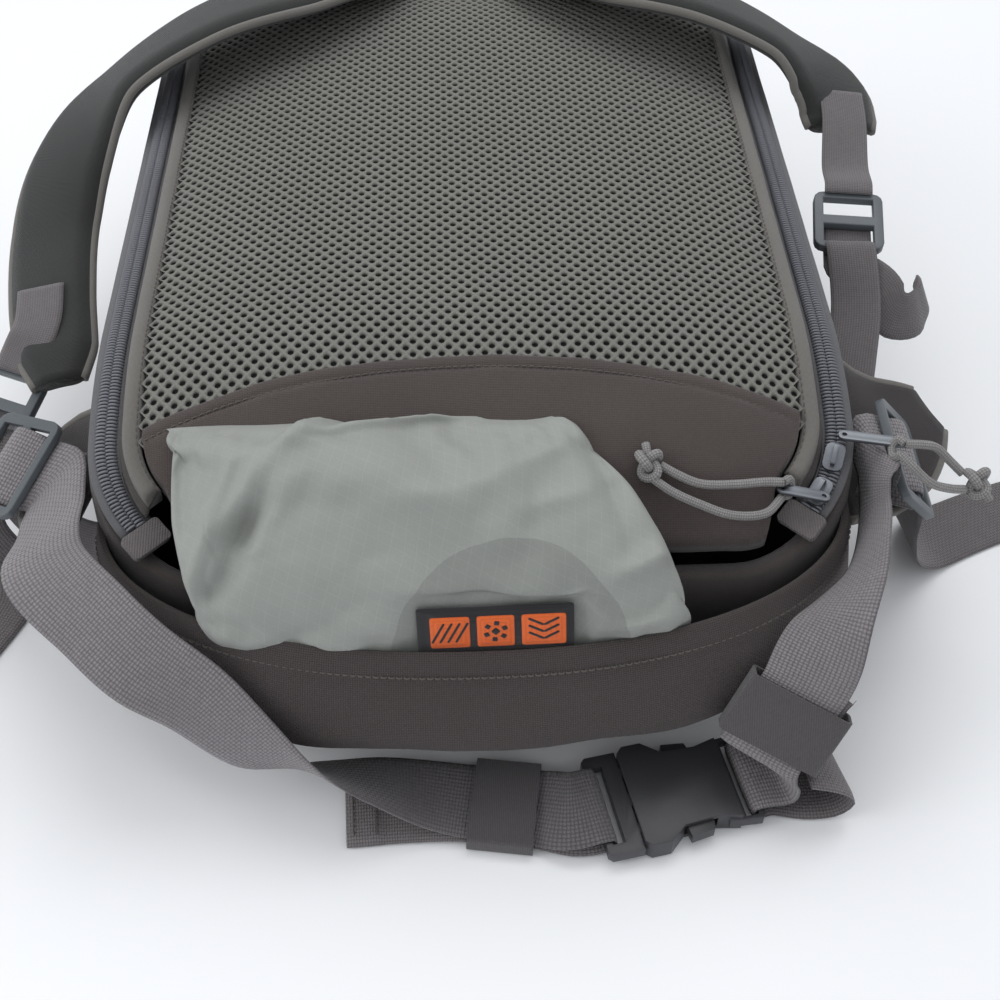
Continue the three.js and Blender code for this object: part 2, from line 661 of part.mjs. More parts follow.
// The belt's tails, from the sliders down to the floor.
const floorZ = (webHalf + seam) / pack.depth;
const tailLeft = [
  ...outOfSlider(sliderFrames.left, 1),
  stop([-1.43, -0.47, 0.43], [0.6, 0.75, 0.2]),
  stop([-1.455, -0.48, 0.22], [0.85, 0.5, 0.1]),
  stop([-1.42, -0.48, 0.06], [0.95, 0.3, 0]),
  stop([-1.405, -0.53, floorZ], [0.99, -0.1, 0]),
  stop([-1.46, -0.62, floorZ], [0.9, -0.43, 0]),
  stop([-1.56, -0.74, floorZ], [0.88, -0.47, 0]),
  stop([-1.66, -0.86, floorZ], [0.88, -0.47, 0]),
];
const tailRight = [
  ...outOfSlider(sliderFrames.right, 1),
  stop([1.24, -0.52, 0.32], [0.05, -0.97, -0.2]),
  stop([1.285, -0.49, 0.13], [0.15, -0.96, -0.1]),
  stop([1.36, -0.46, 0.03], [0.25, -0.96, 0]),
  stop([1.5, -0.415, floorZ], [0.3, -0.95, 0]),
  stop([1.66, -0.375, floorZ], [0.25, -0.97, 0]),
  stop([1.9, -0.33, floorZ], [0.2, -0.98, 0]),
];
piece("belt_tail_left", strap(tailLeft, webbing.belt, webbing.thickness), beltWeb);
piece("belt_tail_right", strap(tailRight, webbing.belt, webbing.thickness), beltWeb);

for (const side of ["left", "right"])
  piece("belt_slider_" + side, sliderPlate(slider).applyMatrix4(sliderFrames[side]), hardPlastic);

// Side wings, sewn to the body's sides, and the short webbing that ties each to its slider.
const wings = {
  left: [
    stop([-0.97, -0.535, 0.65], [0, -1, 0], { wide: 1 }),
    stop([-1.08, -0.507, 0.6], [0, -1, 0], { wide: 0.92 }),
    stop([-1.14, -0.48, 0.57], [0, -1, 0], { wide: 0.6 }),
    stop([-1.17, -0.475, 0.555], [0, -1, 0], { wide: 0.3 }),
  ],
  right: [
    stop([0.97, -0.515, 0.65], [0.08, -0.87, -0.38], { wide: 1 }),
    stop([1.08, -0.5, 0.62], [0.05, -0.92, -0.35], { wide: 0.92 }),
    stop([1.165, -0.475, 0.605], [0.05, -0.95, -0.3], { wide: 0.75 }),
    stop([1.25, -0.44, 0.605], [0.05, -0.95, -0.3], { wide: 0.42 }),
    stop([1.275, -0.43, 0.605], [0.05, -0.95, -0.3], { wide: 0.3 }),
  ],
};
const wingAnchors = {
  left: [
    stop([-1.025, -0.57, 0.62], [0.3, 0.92, 0.25]),
    frameStop(sliderFrames.left, -28, -11.5),
    frameStop(sliderFrames.left, -5, -7.6),
    frameStop(sliderFrames.left, 14, -6.6),
  ],
  right: [
    stop([1.06, -0.56, 0.615], [0, -1, -0.1]),
    frameStop(sliderFrames.right, 4, -8),
    frameStop(sliderFrames.right, 14, -6.4),
  ],
};
const beltRoom = (stations) => toSolid(strap(stations, webbing.belt + 4 * seam, webbing.thickness + 4 * seam));
function sliderRoom({ length, width, rail, thickness }, frame) {
  return toSolid(plate(roundedBox(length, width, rail), [], thickness + 2 * seam).applyMatrix4(frame));
}
const webbings = { left: [beltLeft, tailLeft, wingAnchors.left], right: [beltRight, tailRight, wingAnchors.right] };
for (const side of ["left", "right"]) {
  const neighbours = [...webbings[side].map(beltRoom), sliderRoom(slider, sliderFrames[side])];
  const fin = [bodyClear, pocketClear, ...neighbours].reduce(
    (solid, neighbour) => solid.subtract(neighbour),
    toSolid(strap(wings[side], wing.width, wing.thickness)),
  );
  piece("side_wing_" + side, toGeometry(biggest(fin)), cordura);
  piece("wing_anchor_" + side, besideBody(strap(wingAnchors[side], webbing.belt, webbing.thickness)), beltWeb);
}

// Elastic keepers, flat tubes round the belt and its end.
const keeperRoom = { left: [webbing.belt + 3, 6.8], right: [webbing.belt + 2 * keeperShift + 5, 8.4] };
for (const side of ["left", "right"]) {
  const [w, h] = keeperRoom[side];
  const wall = 2 * keeper.wall;
  const ring = plate(roundedBox(w + wall, h + wall, 2), [roundedBox(w, h, 1).reverse()], keeper.length);
  ring.rotateX(Math.PI / 2);
  piece("belt_keeper_" + side, ring.applyMatrix4(keeperFrames[side]), elastic);
}

// Side-release buckle. Its length is y here, with the prong from the low end.
const mirrorX = (points) => [...points, ...points.map(([x, y]) => [-x, y]).reverse()];
const half = buckle.width / 2;
const mouth = -buckle.socket / 2;
const windowFrom = mouth + 20;
const windowTo = mouth + 36;
const shellEnd = socketEnd - buckle.bar - buckle.slot - 2;
const shellOutline = mirrorX([
  [half - 3, mouth],
  [half, mouth + 3],
  [half, mouth + 12],
  [half - 6.5, windowFrom],
  [half - 7.5, windowTo],
  [half - 5, shellEnd],
]);
const rearOutline = mirrorX([
  [half - 5, shellEnd - 6],
  [half - 3.5, socketEnd - 1.5],
  [half - 5.5, socketEnd],
]);
const armReach = half - 9;
const slotHalf = webbing.belt / 2 + 1.2;
const solidBox = (x0, x1, y0, y1, height) => toSolid(plate(box(x0, x1, y0, y1), [], height));
const cavity = buckle.plate + 2 * buckle.seat;
const socketBar = socketEnd - buckle.bar;
const webSlot = solidBox(-slotHalf, slotHalf, socketBar - buckle.slot, socketBar, buckle.shell);
const windowCut = solidBox(-half, half, windowFrom, windowTo, cavity);
const mouthCut = solidBox(-armReach - buckle.seat, armReach + buckle.seat, mouth - 1, windowTo, cavity);
const socketSolid = toSolid(plate(shellOutline, [], buckle.shell))
  .add(toSolid(plate(rearOutline, [], buckle.plate)).subtract(webSlot))
  .subtract(windowCut)
  .subtract(mouthCut);
piece("buckle_socket", toGeometry(socketSolid).applyMatrix4(buckleFrame), bucklePlastic);

const prongStop = mouth - buckle.seat;
const plateOutline = mirrorX([
  [half - 2.5, prongEnd],
  [half - 0.5, prongEnd + 2],
  [half - 0.5, prongStop],
]);
const armOutline = [
  [armReach - 4.5, prongStop - 1],
  [armReach, prongStop - 1],
  [armReach - 0.5, windowFrom + 1],
  [half - 1.5, windowFrom + 2],
  [half - 3, windowTo - 3],
  [armReach - 2, windowTo - 1],
  [armReach - 5, windowTo - 4],
  [armReach - 5, windowFrom - 2],
];
const tongue = solidBox(-3, 3, prongStop - 1, windowTo - 2, buckle.plate);
const otherArm = armOutline.map(([x, y]) => [-x, y]).reverse();
const arms = [armOutline, otherArm].map((arm) => toSolid(plate(arm, [], buckle.plate)));
const prongBar = prongEnd + buckle.bar;
const prongSlot = solidBox(-slotHalf, slotHalf, prongBar, prongBar + buckle.slot, buckle.shell);
const prongSolid = arms
  .reduce((solid, arm) => solid.add(arm), toSolid(plate(plateOutline, [], buckle.plate)).add(tongue))
  .subtract(prongSlot);
piece("buckle_prong", toGeometry(prongSolid).applyMatrix4(buckleFrame), bucklePlastic);

// Padded shoulder straps, from the top of the back panel out over the sides.
const shoulders = {
  left: [
    stop([-0.3, 0.8, 0.957], [1, 0, 0], { wide: 1, thick: 0.6 }),
    stop([-0.375, 0.68, 1.06], [0.96, -0.25, 0.1]),
    stop([-0.557, 0.55, 1.12], [0.85, -0.5, 0.15]),
    stop([-0.824, 0.44, 1.1], [0.7, -0.6, 0.38]),
    stop([-1.08, 0.35, 0.97], [0.68, -0.45, 0.58]),
    stop([-1.23, 0.243, 0.8], [0.88, -0.25, 0.4], { wide: 0.92 }),
    stop([-1.27, 0.103, 0.68], [0.98, -0.05, 0.2], { wide: 0.76 }),
    stop([-1.245, -0.074, 0.62], [0.98, -0.05, 0.15], { wide: 0.7 }),
    stop([-1.2, -0.213, 0.59], [0.95, 0.05, 0.1], { wide: 0.62 }),
    stop([-1.18, -0.28, 0.57], [0.95, 0.05, 0.1], { wide: 0.4, thick: 0.7 }),
  ],
  right: [
    stop([0.3, 0.8, 0.957], [1, 0, 0], { wide: 1, thick: 0.6 }),
    stop([0.375, 0.68, 1.06], [0.96, 0.25, -0.1]),
    stop([0.557, 0.57, 1.12], [0.85, 0.5, -0.15]),
    stop([0.824, 0.48, 1.1], [0.7, 0.6, -0.38]),
    stop([1.06, 0.41, 1], [0.7, 0.45, -0.55]),
    stop([1.19, 0.33, 0.9], [0.9, 0.25, -0.35], { wide: 0.85 }),
    stop([1.2, 0.25, 0.85], [0.98, 0.1, -0.1], { wide: 0.6, thick: 0.8 }),
  ],
};

// Ladder locks with the webbing that joins them to the straps above and to the wings below.
const lockFrames = {
  left: frameAt(at([-1.353, -0.29, 0.5]), V(-0.35, -0.85, -0.4), V(0.9, -0.42, 0)),
  right: frameAt(at([1.143, -0.03, 0.81]), V(-0.12, -0.97, -0.2), V(0.98, -0.14, 0)),
};
const lockSize = { ...lock, length: lock.width, width: lock.length };
const lockRise = lock.thickness / 2 + webHalf + seam;
const lockEnd = lock.length / 2;
const upperWeb = {
  left: [
    stop([-1.27, -0.07, 0.675], [0.98, -0.05, 0.15]),
    stop([-1.26, -0.15, 0.655], [0.98, -0.05, 0.1]),
    stop([-1.27, -0.19, 0.64], [0.95, -0.15, 0.05]),
    frameStop(lockFrames.left, -lockEnd - 4, -lockRise - 1),
    frameStop(lockFrames.left, -lockEnd + 2, -lockRise - 0.3),
  ],
  right: [
    stop([1.205, 0.31, 0.94], [0.98, 0.1, -0.1]),
    stop([1.2, 0.24, 0.91], [0.98, 0.1, -0.1]),
    stop([1.175, 0.12, 0.85], [0.98, 0, 0]),
    frameStop(lockFrames.right, -lockEnd - 4, -lockRise - 1),
    frameStop(lockFrames.right, -lockEnd + 2, -lockRise - 0.3),
  ],
};
const lockWay = (frame) => [
  frameStop(frame, -lock.midBar * 0.3, lockRise + 0.6),
  frameStop(frame, lock.midBar * 0.5, lockRise + 0.6),
  frameStop(frame, lockEnd - lock.bar - 3, lockRise + 0.2),
  frameStop(frame, lockEnd + 1, lockRise + 0.8),
  frameStop(frame, lockEnd + 5, lockRise + 1.2),
];
const lowerWeb = {
  left: [
    ...lockWay(lockFrames.left),
    stop([-1.36, -0.385, 0.36], [0.85, -0.35, 0]),
    stop([-1.26, -0.455, 0.29], [0.6, 0.3, 0.5]),
    stop([-1.13, -0.515, 0.265], [0.3, 0.5, 0.7]),
    stop([-1.024, -0.54, 0.27], [0, 0.65, 0.75]),
  ],
  right: [
    ...lockWay(lockFrames.right),
    stop([1.2, -0.165, 0.72], [0.8, 0.2, 0.4]),
    stop([1.245, -0.205, 0.665], [0.4, 0.6, 0.7]),
    stop([1.32, -0.19, 0.645], [0, 0.65, 0.76]),
    stop([1.36, -0.135, 0.65], [-0.1, 0.65, 0.76]),
  ],
};
for (const side of ["left", "right"]) {
  const padding = toSolid(strap(shoulders[side], shoulder.width, shoulder.thickness, 13))
    .subtract(toSolid(strap(upperWeb[side], webbing.shoulder + 4 * seam, webbing.thickness + 4 * seam)))
    .subtract(sliderRoom(lockSize, lockFrames[side]));
  piece("shoulder_strap_" + side, toGeometry(padding), strapFoam);
  piece("ladder_lock_" + side, sliderPlate(lockSize).applyMatrix4(lockFrames[side]), hardPlastic);
  piece("strap_webbing_" + side, strap(upperWeb[side], webbing.shoulder, webbing.thickness), beltWeb);
  piece("lower_webbing_" + side, strap(lowerWeb[side], webbing.shoulder, webbing.thickness), beltWeb);
}

// Small fittings on the zip, placed by the angle round the base corner's arc.
function onZip(side, angle) {
  const place = (degrees) => {
    const a = radians(degrees);
    const reach = pack.baseCorner - zip.inset;
    const y = -(pack.base - pack.baseCorner) - reach * Math.sin(a);
    return V(side * (baseFlat + reach * Math.cos(a)), y, rimHeight(y) + seam + zip.height);
  };
  const along = place(angle + 1).sub(place(angle - 1));
  const outwards = V(side * Math.cos(radians(angle)), -Math.sin(radians(angle)), 0);
  return frameAt(place(angle), along, along.clone().cross(outwards).z < 0 ? outwards : outwards.negate());
}

const sliderAngles = { upper: 20, lower: 38 };
const zipSliderHalf = zipSlider.height / 2;
for (const [name, angle] of Object.entries(sliderAngles)) {
  const shell = toSolid(plate(roundedBox(zipSlider.width, zipSlider.length, 3), [], zipSliderHalf))
    .translate([0, 0, seam + zipSliderHalf / 2]);
  const hoopOutline = roundedBox(zipSlider.length - 3, zipSlider.height, 1.5);
  const hoopHole = roundedBox(zipSlider.length - 6, 2, 0.5).reverse();
  const hoopPlate = plate(hoopOutline, [hoopHole], 2).rotateZ(Math.PI / 2).rotateY(Math.PI / 2);
  const hoop = toSolid(hoopPlate).translate([0, 0, zipSlider.height]);
  piece("zip_slider_" + name, toGeometry(shell.add(hoop)).applyMatrix4(onZip(1, angle)), pullMetal);
}

// The place on the zip between its two sliders, and places given from it.
const zipEnd = V(0, 0, 0).setFromMatrixPosition(onZip(1, (sliderAngles.upper + sliderAngles.lower) / 2));
const offZip = ([x, y, z]) => zipEnd.clone().add(V(x, y, z));

// Pull tags: flat bars with an eye at each end.
const pullFrames = {
  upper: frameAt(offZip([20.3, 10.2, 12.6]), V(28, -8, 1.5), V(8, 28, 0)),
  lower: frameAt(offZip([-14.2, -13.3, 4.1]), V(-22, 4, 3), V(-4, -22, 0)),
};
const pullBlock = box(-pull.width / 2, pull.width / 2, -pull.length / 2, pull.length / 2);
const pullClear = toSolid(plate(pullBlock, [], 4 * pull.thickness).applyMatrix4(pullFrames.upper));
const beltBesideBody = toSolid(besideBody(strap(beltRight, webbing.belt, webbing.thickness)));
piece("belt_webbing_right", toGeometry(biggest(beltBesideBody.subtract(pullClear))), beltWeb);
const pullLengths = { upper: pull.length, lower: pull.shortLength };
const eyeAt = (y) =>
  Array.from({ length: 10 }, (_, i) => {
    const a = -(2 * Math.PI * i) / 10;
    return [(pull.eye / 2) * Math.cos(a), y + (pull.eye / 2) * Math.sin(a)];
  });
for (const [name, frame] of Object.entries(pullFrames)) {
  const length = pullLengths[name];
  const eyes = [-1, 1].map((end) => eyeAt(end * (length / 2 - pull.width / 2)));
  const bar = plate(roundedBox(pull.width, length, pull.width / 2 - 0.2, 4), eyes, pull.thickness);
  piece("zip_pull_" + name, bar.applyMatrix4(frame), pullMetal);
}

// Cords from the pulls to their knots. The points are hand-chosen places along each cord, from the zip's end.
const circle = (radius, sides) =>
  new THREE.Shape(
    Array.from({ length: sides }, (_, i) => {
      const a = (2 * Math.PI * i) / sides;
      return new THREE.Vector2(radius * Math.cos(a), radius * Math.sin(a));
    }),
  );
function tube(points, diameter, sides) {
  const path = new THREE.CatmullRomCurve3(points, false, "centripetal");
  const steps = Math.round(path.getLength() / (2 * diameter));
  return new THREE.ExtrudeGeometry(circle(diameter / 2, sides), { extrudePath: path, steps });
}
const cords = {
  pull_cord_upper_a: [
    [32.3, 3.2, 16.1],
    [40.3, 3.7, 14.9],
    [48.3, 6.2, 10.1],
    [55.3, 3.2, 4.1],
    [60.8, -0.8, 0.1],
  ],
  pull_cord_upper_b: [
    [29.3, -1.8, 15.1],
    [34.3, -6.8, 11.9],
    [43.3, -10.3, 4.6],
    [53.3, -9.3, -0.4],
    [60.8, -7.3, -3.4],
  ],
  pull_cord_lower_a: [
    [-23.2, -10.8, 8.7],
    [-31.7, -10.8, 9.1],
    [-44.7, -10.8, 8.1],
    [-59.7, -10.1, 8.4],
    [-69.7, -6.8, 11.1],
    [-77.2, -3.3, 13.9],
  ],
  pull_cord_lower_b: [
    [-23.2, -13.3, 1.9],
    [-31.7, -21.8, 0.9],
    [-46.7, -23.3, 1.9],
    [-60.7, -18.8, 4.6],
    [-72.7, -13.8, 7.9],
    [-81.7, -8.8, 12.1],
  ],
};
for (const [name, points] of Object.entries(cords))
  piece(name, tube(points.map(offZip), cord.diameter, cord.sides), cordBraid);

const knots = {
  cord_knot_upper: offZip([67.4, -3.9, -2.1]),
  cord_knot_lower: offZip([-84.5, -0.3, 17.5]),
};
for (const [name, place] of Object.entries(knots)) {
  const ball = new THREE.SphereGeometry(cord.knot / 2, 10, 8).scale(1, 1.15, 0.9);
  piece(name, ball.translate(place.x, place.y, place.z), cordBraid);
}

// Folded webbing tabs over the zip's ends.
const tab = { width: 20, length: 12, thickness: 4, beyond: 7.8 };
for (const [name, side] of [["left", -1], ["right", 1]]) {
  const end = onZip(side, zip.endAngle);
  const tabFrame = frameAt(
    inFrame(end, 0, tab.beyond, -zip.height / 2),
    V(0, 1, 0).transformDirection(end),
    V(1, 0, 0).transformDirection(end),
  );
  const fold = plate(roundedBox(tab.width, tab.length, 2), [], tab.thickness);
  piece("zip_end_tab_" + name, fold.applyMatrix4(tabFrame), beltWeb);
}

// Haul loop, between the shoulder straps at the top end of the back panel.
const haulFoot = panelHeight(haul.spread / 2, haul.y - webbing.shoulder / 2) - seam;
const haulStops = [
  [1, 0],
  [1, 0.35],
  [0.75, 0.8],
  [0, 1],
  [-0.75, 0.8],
  [-1, 0.35],
  [-1, 0],
].map(([x, z]) => ({
  centre: V((x * haul.spread) / 2, haul.y, haulFoot + z * haul.rise),
  across: V(0, 1, 0),
}));
piece("haul_loop", strap(haulStops, webbing.shoulder, webbing.thickness), beltWeb);

export default group;
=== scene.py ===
import math

import bmesh
import bpy
import numpy as np
from mathutils import Matrix, Vector, noise


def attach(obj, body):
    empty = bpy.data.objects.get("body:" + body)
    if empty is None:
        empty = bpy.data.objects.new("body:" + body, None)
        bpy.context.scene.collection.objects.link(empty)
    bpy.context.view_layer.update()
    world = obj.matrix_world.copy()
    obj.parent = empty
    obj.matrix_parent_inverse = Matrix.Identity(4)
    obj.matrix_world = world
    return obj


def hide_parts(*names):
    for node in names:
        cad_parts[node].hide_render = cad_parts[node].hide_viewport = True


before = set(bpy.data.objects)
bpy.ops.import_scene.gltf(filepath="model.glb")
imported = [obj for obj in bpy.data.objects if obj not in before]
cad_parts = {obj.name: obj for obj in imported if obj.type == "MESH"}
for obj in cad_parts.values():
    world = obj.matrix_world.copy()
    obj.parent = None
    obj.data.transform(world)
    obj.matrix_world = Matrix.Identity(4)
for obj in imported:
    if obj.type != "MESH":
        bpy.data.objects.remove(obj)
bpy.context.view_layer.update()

# Camera, light and floor: the pack lies on its front on a pale table, seen from its bottom end, from above,
# under a wide soft light.
scene = bpy.context.scene
camera_data = bpy.data.cameras.new("bench_camera")
camera_data.lens = 50.4
camera_data.sensor_width = 36
scene.view_settings.view_transform = "Standard"


def set_out(name, data):
    """An object of this data, in the scene."""
    made = bpy.data.objects.new(name, data)
    scene.collection.objects.link(made)
    return made


camera = set_out("bench_camera", camera_data)
camera.location = (-0.0049, -0.602, 0.577)
camera.rotation_euler = (math.radians(42), 0, math.radians(-2.2))
scene.camera = camera


def soft_light(name, place, aim, size, power):
    light = bpy.data.lights.new(name, "AREA")
    light.shape = "DISK"
    light.size = size
    light.energy = power
    lamp = set_out(name, light)
    lamp.location = place
    lamp.rotation_euler = (Vector(aim) - Vector(place)).to_track_quat("-Z", "Y").to_euler()


soft_light("overhead_light", (0.1, 0.7, 1.7), (0, 0, 0.1), 1.6, 11.5)
soft_light("side_light", (-1.3, -0.5, 1.0), (0, -0.1, 0.1), 1.0, 6.5)
world = bpy.data.worlds.new("pale_room")
world.use_nodes = True
sky = world.node_tree.nodes["Background"]
sky.inputs["Color"].default_value = (0.95, 0.97, 1, 1)
sky.inputs["Strength"].default_value = 0.76
scene.world = world


def srgb(red, green, blue):
    """A colour from its display values, 0 to 255."""
    return tuple((c / 255) ** 2.2 for c in (red, green, blue)) + (1,)


def bare_finish(name, **values):
    """A finish with plain values of its shader's inputs, its node tree and its shader."""
    finish = bpy.data.materials.new(name)
    finish.use_nodes = True
    shader = finish.node_tree.nodes["Principled BSDF"]
    for key, value in values.items():
        shader.inputs[key.replace("_", " ")].default_value = value
    return finish, finish.node_tree, shader


def new_mesh(name, points, edges=(), faces=()):
    mesh = bpy.data.meshes.new(name)
    mesh.from_pydata([tuple(p) for p in points], edges, faces)
    return mesh


table_mesh = new_mesh("table_top", [(-3, -3, 0), (3, -3, 0), (3, 3, 0), (-3, 3, 0)], faces=[(0, 1, 2, 3)])
table_mesh.materials.append(bare_finish("table_paint", Base_Color=srgb(244, 245, 247), Roughness=0.45)[0])
set_out("table_top", table_mesh)

# Pull cords: braided cord of 4 mm on the zip's two metal tags. Each tag has two ends of cord, hitched through
# its eye and tied together in one knot.
MM = 0.001
cord_size = 4 * MM


def smooth_point(points, share):
    """A place on the smooth curve through points, evenly shared between them."""
    last = len(points) - 1
    step = min(int(share * last), last - 1)
    mix = share * last - step
    p1, p2 = points[step], points[step + 1]
    p0 = points[step - 1] if step else p1 * 2 - p2
    p3 = points[step + 2] if step + 2 <= last else p2 * 2 - p1
    d0, d1, d2 = (max((b - a).length, 1e-9) ** 0.5 for a, b in ((p0, p1), (p1, p2), (p2, p3)))
    t1 = ((p1 - p0) / d0 - (p2 - p0) / (d0 + d1) + (p2 - p1) / d1) * d1
    t2 = ((p2 - p1) / d1 - (p3 - p1) / (d1 + d2) + (p3 - p2) / d2) * d1
    bend = (p2 - p1) * 3 - t1 * 2 - t2
    close = (p1 - p2) * 2 + t1 + t2
    return p1 + t1 * mix + bend * mix**2 + close * mix**3


def smooth_line(points, count):
    return [smooth_point(points, i / (count - 1)) for i in range(count)]


def length_of(points):
    return sum((b - a).length for a, b in zip(points, points[1:]))


def on_pack(name, mesh, stands_for=()):
    """Sets a mesh on the pack as a piece of its own, for the solids that it stands for."""
    mesh.polygons.foreach_set("use_smooth", [True] * len(mesh.polygons))
    made = set_out(name, mesh)
    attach(made, "root")
    if stands_for:
        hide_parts(*stands_for)
    return made


def faced_out(mesh):
    work = bmesh.new()
    work.from_mesh(mesh)
    bmesh.ops.recalc_face_normals(work, faces=work.faces)
    if work.calc_volume() < 0:
        bmesh.ops.reverse_faces(work, faces=work.faces)
    work.to_mesh(mesh)
    work.free()


def piece(name, points, faces, uvs, finish, slot, stands_for=()):
    """A closed piece on the pack, with its cloth map, its finish and the solids that it stands for."""
    mesh = new_mesh(name, points, faces=faces)
    cloth = mesh.uv_layers.new(name="Cloth")
    cloth.data.foreach_set("uv", np.array([uv for face in uvs for uv in face], np.float32).ravel())
    faced_out(mesh)
    mesh.materials.append(finish)
    return on_pack(name, mesh, stands_for)


def skin(rings):
    """Points, faces and cloth map of a closed skin through rings. The map runs round them and along."""
    count = len(rings[0])
    points = [p for ring in rings for p in ring]
    widest = max(rings, key=lambda r: length_of(r + [r[0]]))
    round_it = [0.0]
    for a, b in zip(widest, widest[1:] + widest[:1]):
        round_it.append(round_it[-1] + (b - a).length)
    along = [0.0]
    for a, b in zip(rings, rings[1:]):
        along.append(along[-1] + sum((q - p).length for p, q in zip(a, b)) / count)
    faces, uvs = [], []
    for row in range(len(rings) - 1):
        for i in range(count):
            j = (i + 1) % count
            a, b = row * count, (row + 1) * count
            faces.append((a + i, a + j, b + j, b + i))
            u0, u1, v0, v1 = round_it[i], round_it[i + 1], along[row], along[row + 1]
            uvs.append(((u0, v0), (u1, v0), (u1, v1), (u0, v1)))
    for row in (0, len(rings) - 1):
        points.append(sum(rings[row], Vector()) / count)
        for i in range(count):
            ends = (row * count + i, row * count + (i + 1) % count)
            faces.append((*(ends if row else ends[::-1]), len(points) - 1))
            corners = (round_it[i], along[row]), (round_it[i + 1], along[row])
            uvs.append((*(corners if row else corners[::-1]), (round_it[i], along[row] + 2 * MM)))
    return points, faces, uvs


def tube(line, radius, sides=10):
    """Rings round a line, that turn as little as they can."""
    rings, side = [], None
    for i, point in enumerate(line):
        way = (line[min(i + 1, len(line) - 1)] - line[max(i - 1, 0)]).normalized()
        if side is None:
            side = way.orthogonal().normalized()
        side = (side - way * side.dot(way)).normalized()
        other = way.cross(side)
        share = i / (len(line) - 1)
        size = radius(share) if callable(radius) else radius
        turns = [2 * math.pi * k / sides for k in range(sides)]
        rings.append([point + (side * math.cos(t) + other * math.sin(t)) * size for t in turns])
    return rings


def group_tree(name, kind, *sockets):
    """A node group with its sockets, each (name, way, kind, value if any), and its two end nodes."""
    tree = bpy.data.node_groups.new(name, kind)
    for title, way, sort, *value in sockets:
        socket = tree.interface.new_socket(name=title, in_out=way, socket_type="NodeSocket" + sort)
        if value:
            socket.default_value = value[0]
    return tree, tree.nodes.new("NodeGroupInput"), tree.nodes.new("NodeGroupOutput")


def node(tree, kind, **inputs):
    """A node with its settings and inputs. An input's value is a number, or a socket to link."""
    made = tree.nodes.new(kind)
    for key, value in inputs.items():
        if key.startswith("set_"):
            setattr(made, key[4:], value)
            continue
        place = int(key[2:]) if key.startswith("in") and key[2:].isdigit() else key.replace("_", " ")
        if isinstance(value, bpy.types.NodeSocket):
            tree.links.new(value, made.inputs[place])
        else:
            made.inputs[place].default_value = value
    return made


def maths(tree, operation, *values):
    inputs = {f"in{place}": value for place, value in enumerate(values)}
    return node(tree, "ShaderNodeMath", set_operation=operation, **inputs).outputs[0]


# Plain weave: crowns of thread that pass over and under each other.
weave, group_in, group_out = group_tree(
    "plain_weave", "ShaderNodeTree", ("Vector", "INPUT", "Vector"), ("Pitch", "INPUT", "Float", 0.001),
    ("Stretch", "INPUT", "Float", 1.0), ("Height", "OUTPUT", "Float"),
)
apart = node(weave, "ShaderNodeSeparateXYZ", Vector=group_in.outputs["Vector"])
across = maths(weave, "DIVIDE", apart.outputs["X"], group_in.outputs["Pitch"])
long_pitch = maths(weave, "MULTIPLY", group_in.outputs["Pitch"], group_in.outputs["Stretch"])
down = maths(weave, "DIVIDE", apart.outputs["Y"], long_pitch)
crown_across = maths(weave, "SINE", maths(weave, "MULTIPLY", maths(weave, "FRACT", across), math.pi))
crown_down = maths(weave, "SINE", maths(weave, "MULTIPLY", maths(weave, "FRACT", down), math.pi))
cell = maths(weave, "ADD", maths(weave, "FLOOR", across), maths(weave, "FLOOR", down))
over = maths(weave, "FLOORED_MODULO", cell, 2.0)
warp = maths(weave, "MULTIPLY", maths(weave, "POWER", crown_across, 0.6), over)
weft = maths(weave, "MULTIPLY", maths(weave, "POWER", crown_down, 0.6), maths(weave, "SUBTRACT", 1.0, over))
ends = maths(weave, "MULTIPLY", crown_across, crown_down)
ends = maths(weave, "MULTIPLY", ends, 0.4)
height = maths(weave, "MULTIPLY_ADD", maths(weave, "ADD", warp, weft), 0.6, ends)
weave.links.new(height, group_out.inputs["Height"])

# Uneven tone: broad patches of wash and wear with fine fleck, as a value round 1.
tone, group_in, group_out = group_tree(
    "uneven_tone", "ShaderNodeTree", ("Patch", "INPUT", "Float", 0.12), ("Fleck", "INPUT", "Float", 0.1),
    ("Fleck Scale", "INPUT", "Float", 900.0), ("Value", "OUTPUT", "Float"),
)
where = tone.nodes.new("ShaderNodeTexCoord").outputs["Object"]
broad = node(tone, "ShaderNodeTexNoise", Vector=where, Scale=14.0, Detail=4.0)
fine = node(tone, "ShaderNodeTexNoise", Vector=where, Scale=group_in.outputs["Fleck Scale"], Detail=2.0)
parts = []
for noise_node, amount in ((broad, "Patch"), (fine, "Fleck")):
    swing = maths(tone, "SUBTRACT", noise_node.outputs["Fac"], 0.5)
    parts.append(maths(tone, "MULTIPLY", maths(tone, "MULTIPLY", swing, group_in.outputs[amount]), 2.0))
tone.links.new(maths(tone, "ADD", maths(tone, "ADD", *parts), 1.0), group_out.inputs["Value"])


def tinted(tree, shader, colour, shade, share=1.0):
    """Paints the shader in a colour times a shade. Each is a value or a socket."""
    mixing = dict(set_data_type="RGBA", set_blend_type="MULTIPLY", Factor=share, in6=colour, in7=shade)
    paint = node(tree, "ShaderNodeMix", **mixing)
    tree.links.new(paint.outputs[2], shader.inputs["Base Color"])


def raised(tree, shader, height, depth, strength):
    bump = node(tree, "ShaderNodeBump", Height=height, Distance=depth, Strength=strength)
    tree.links.new(bump.outputs["Normal"], shader.inputs["Normal"])


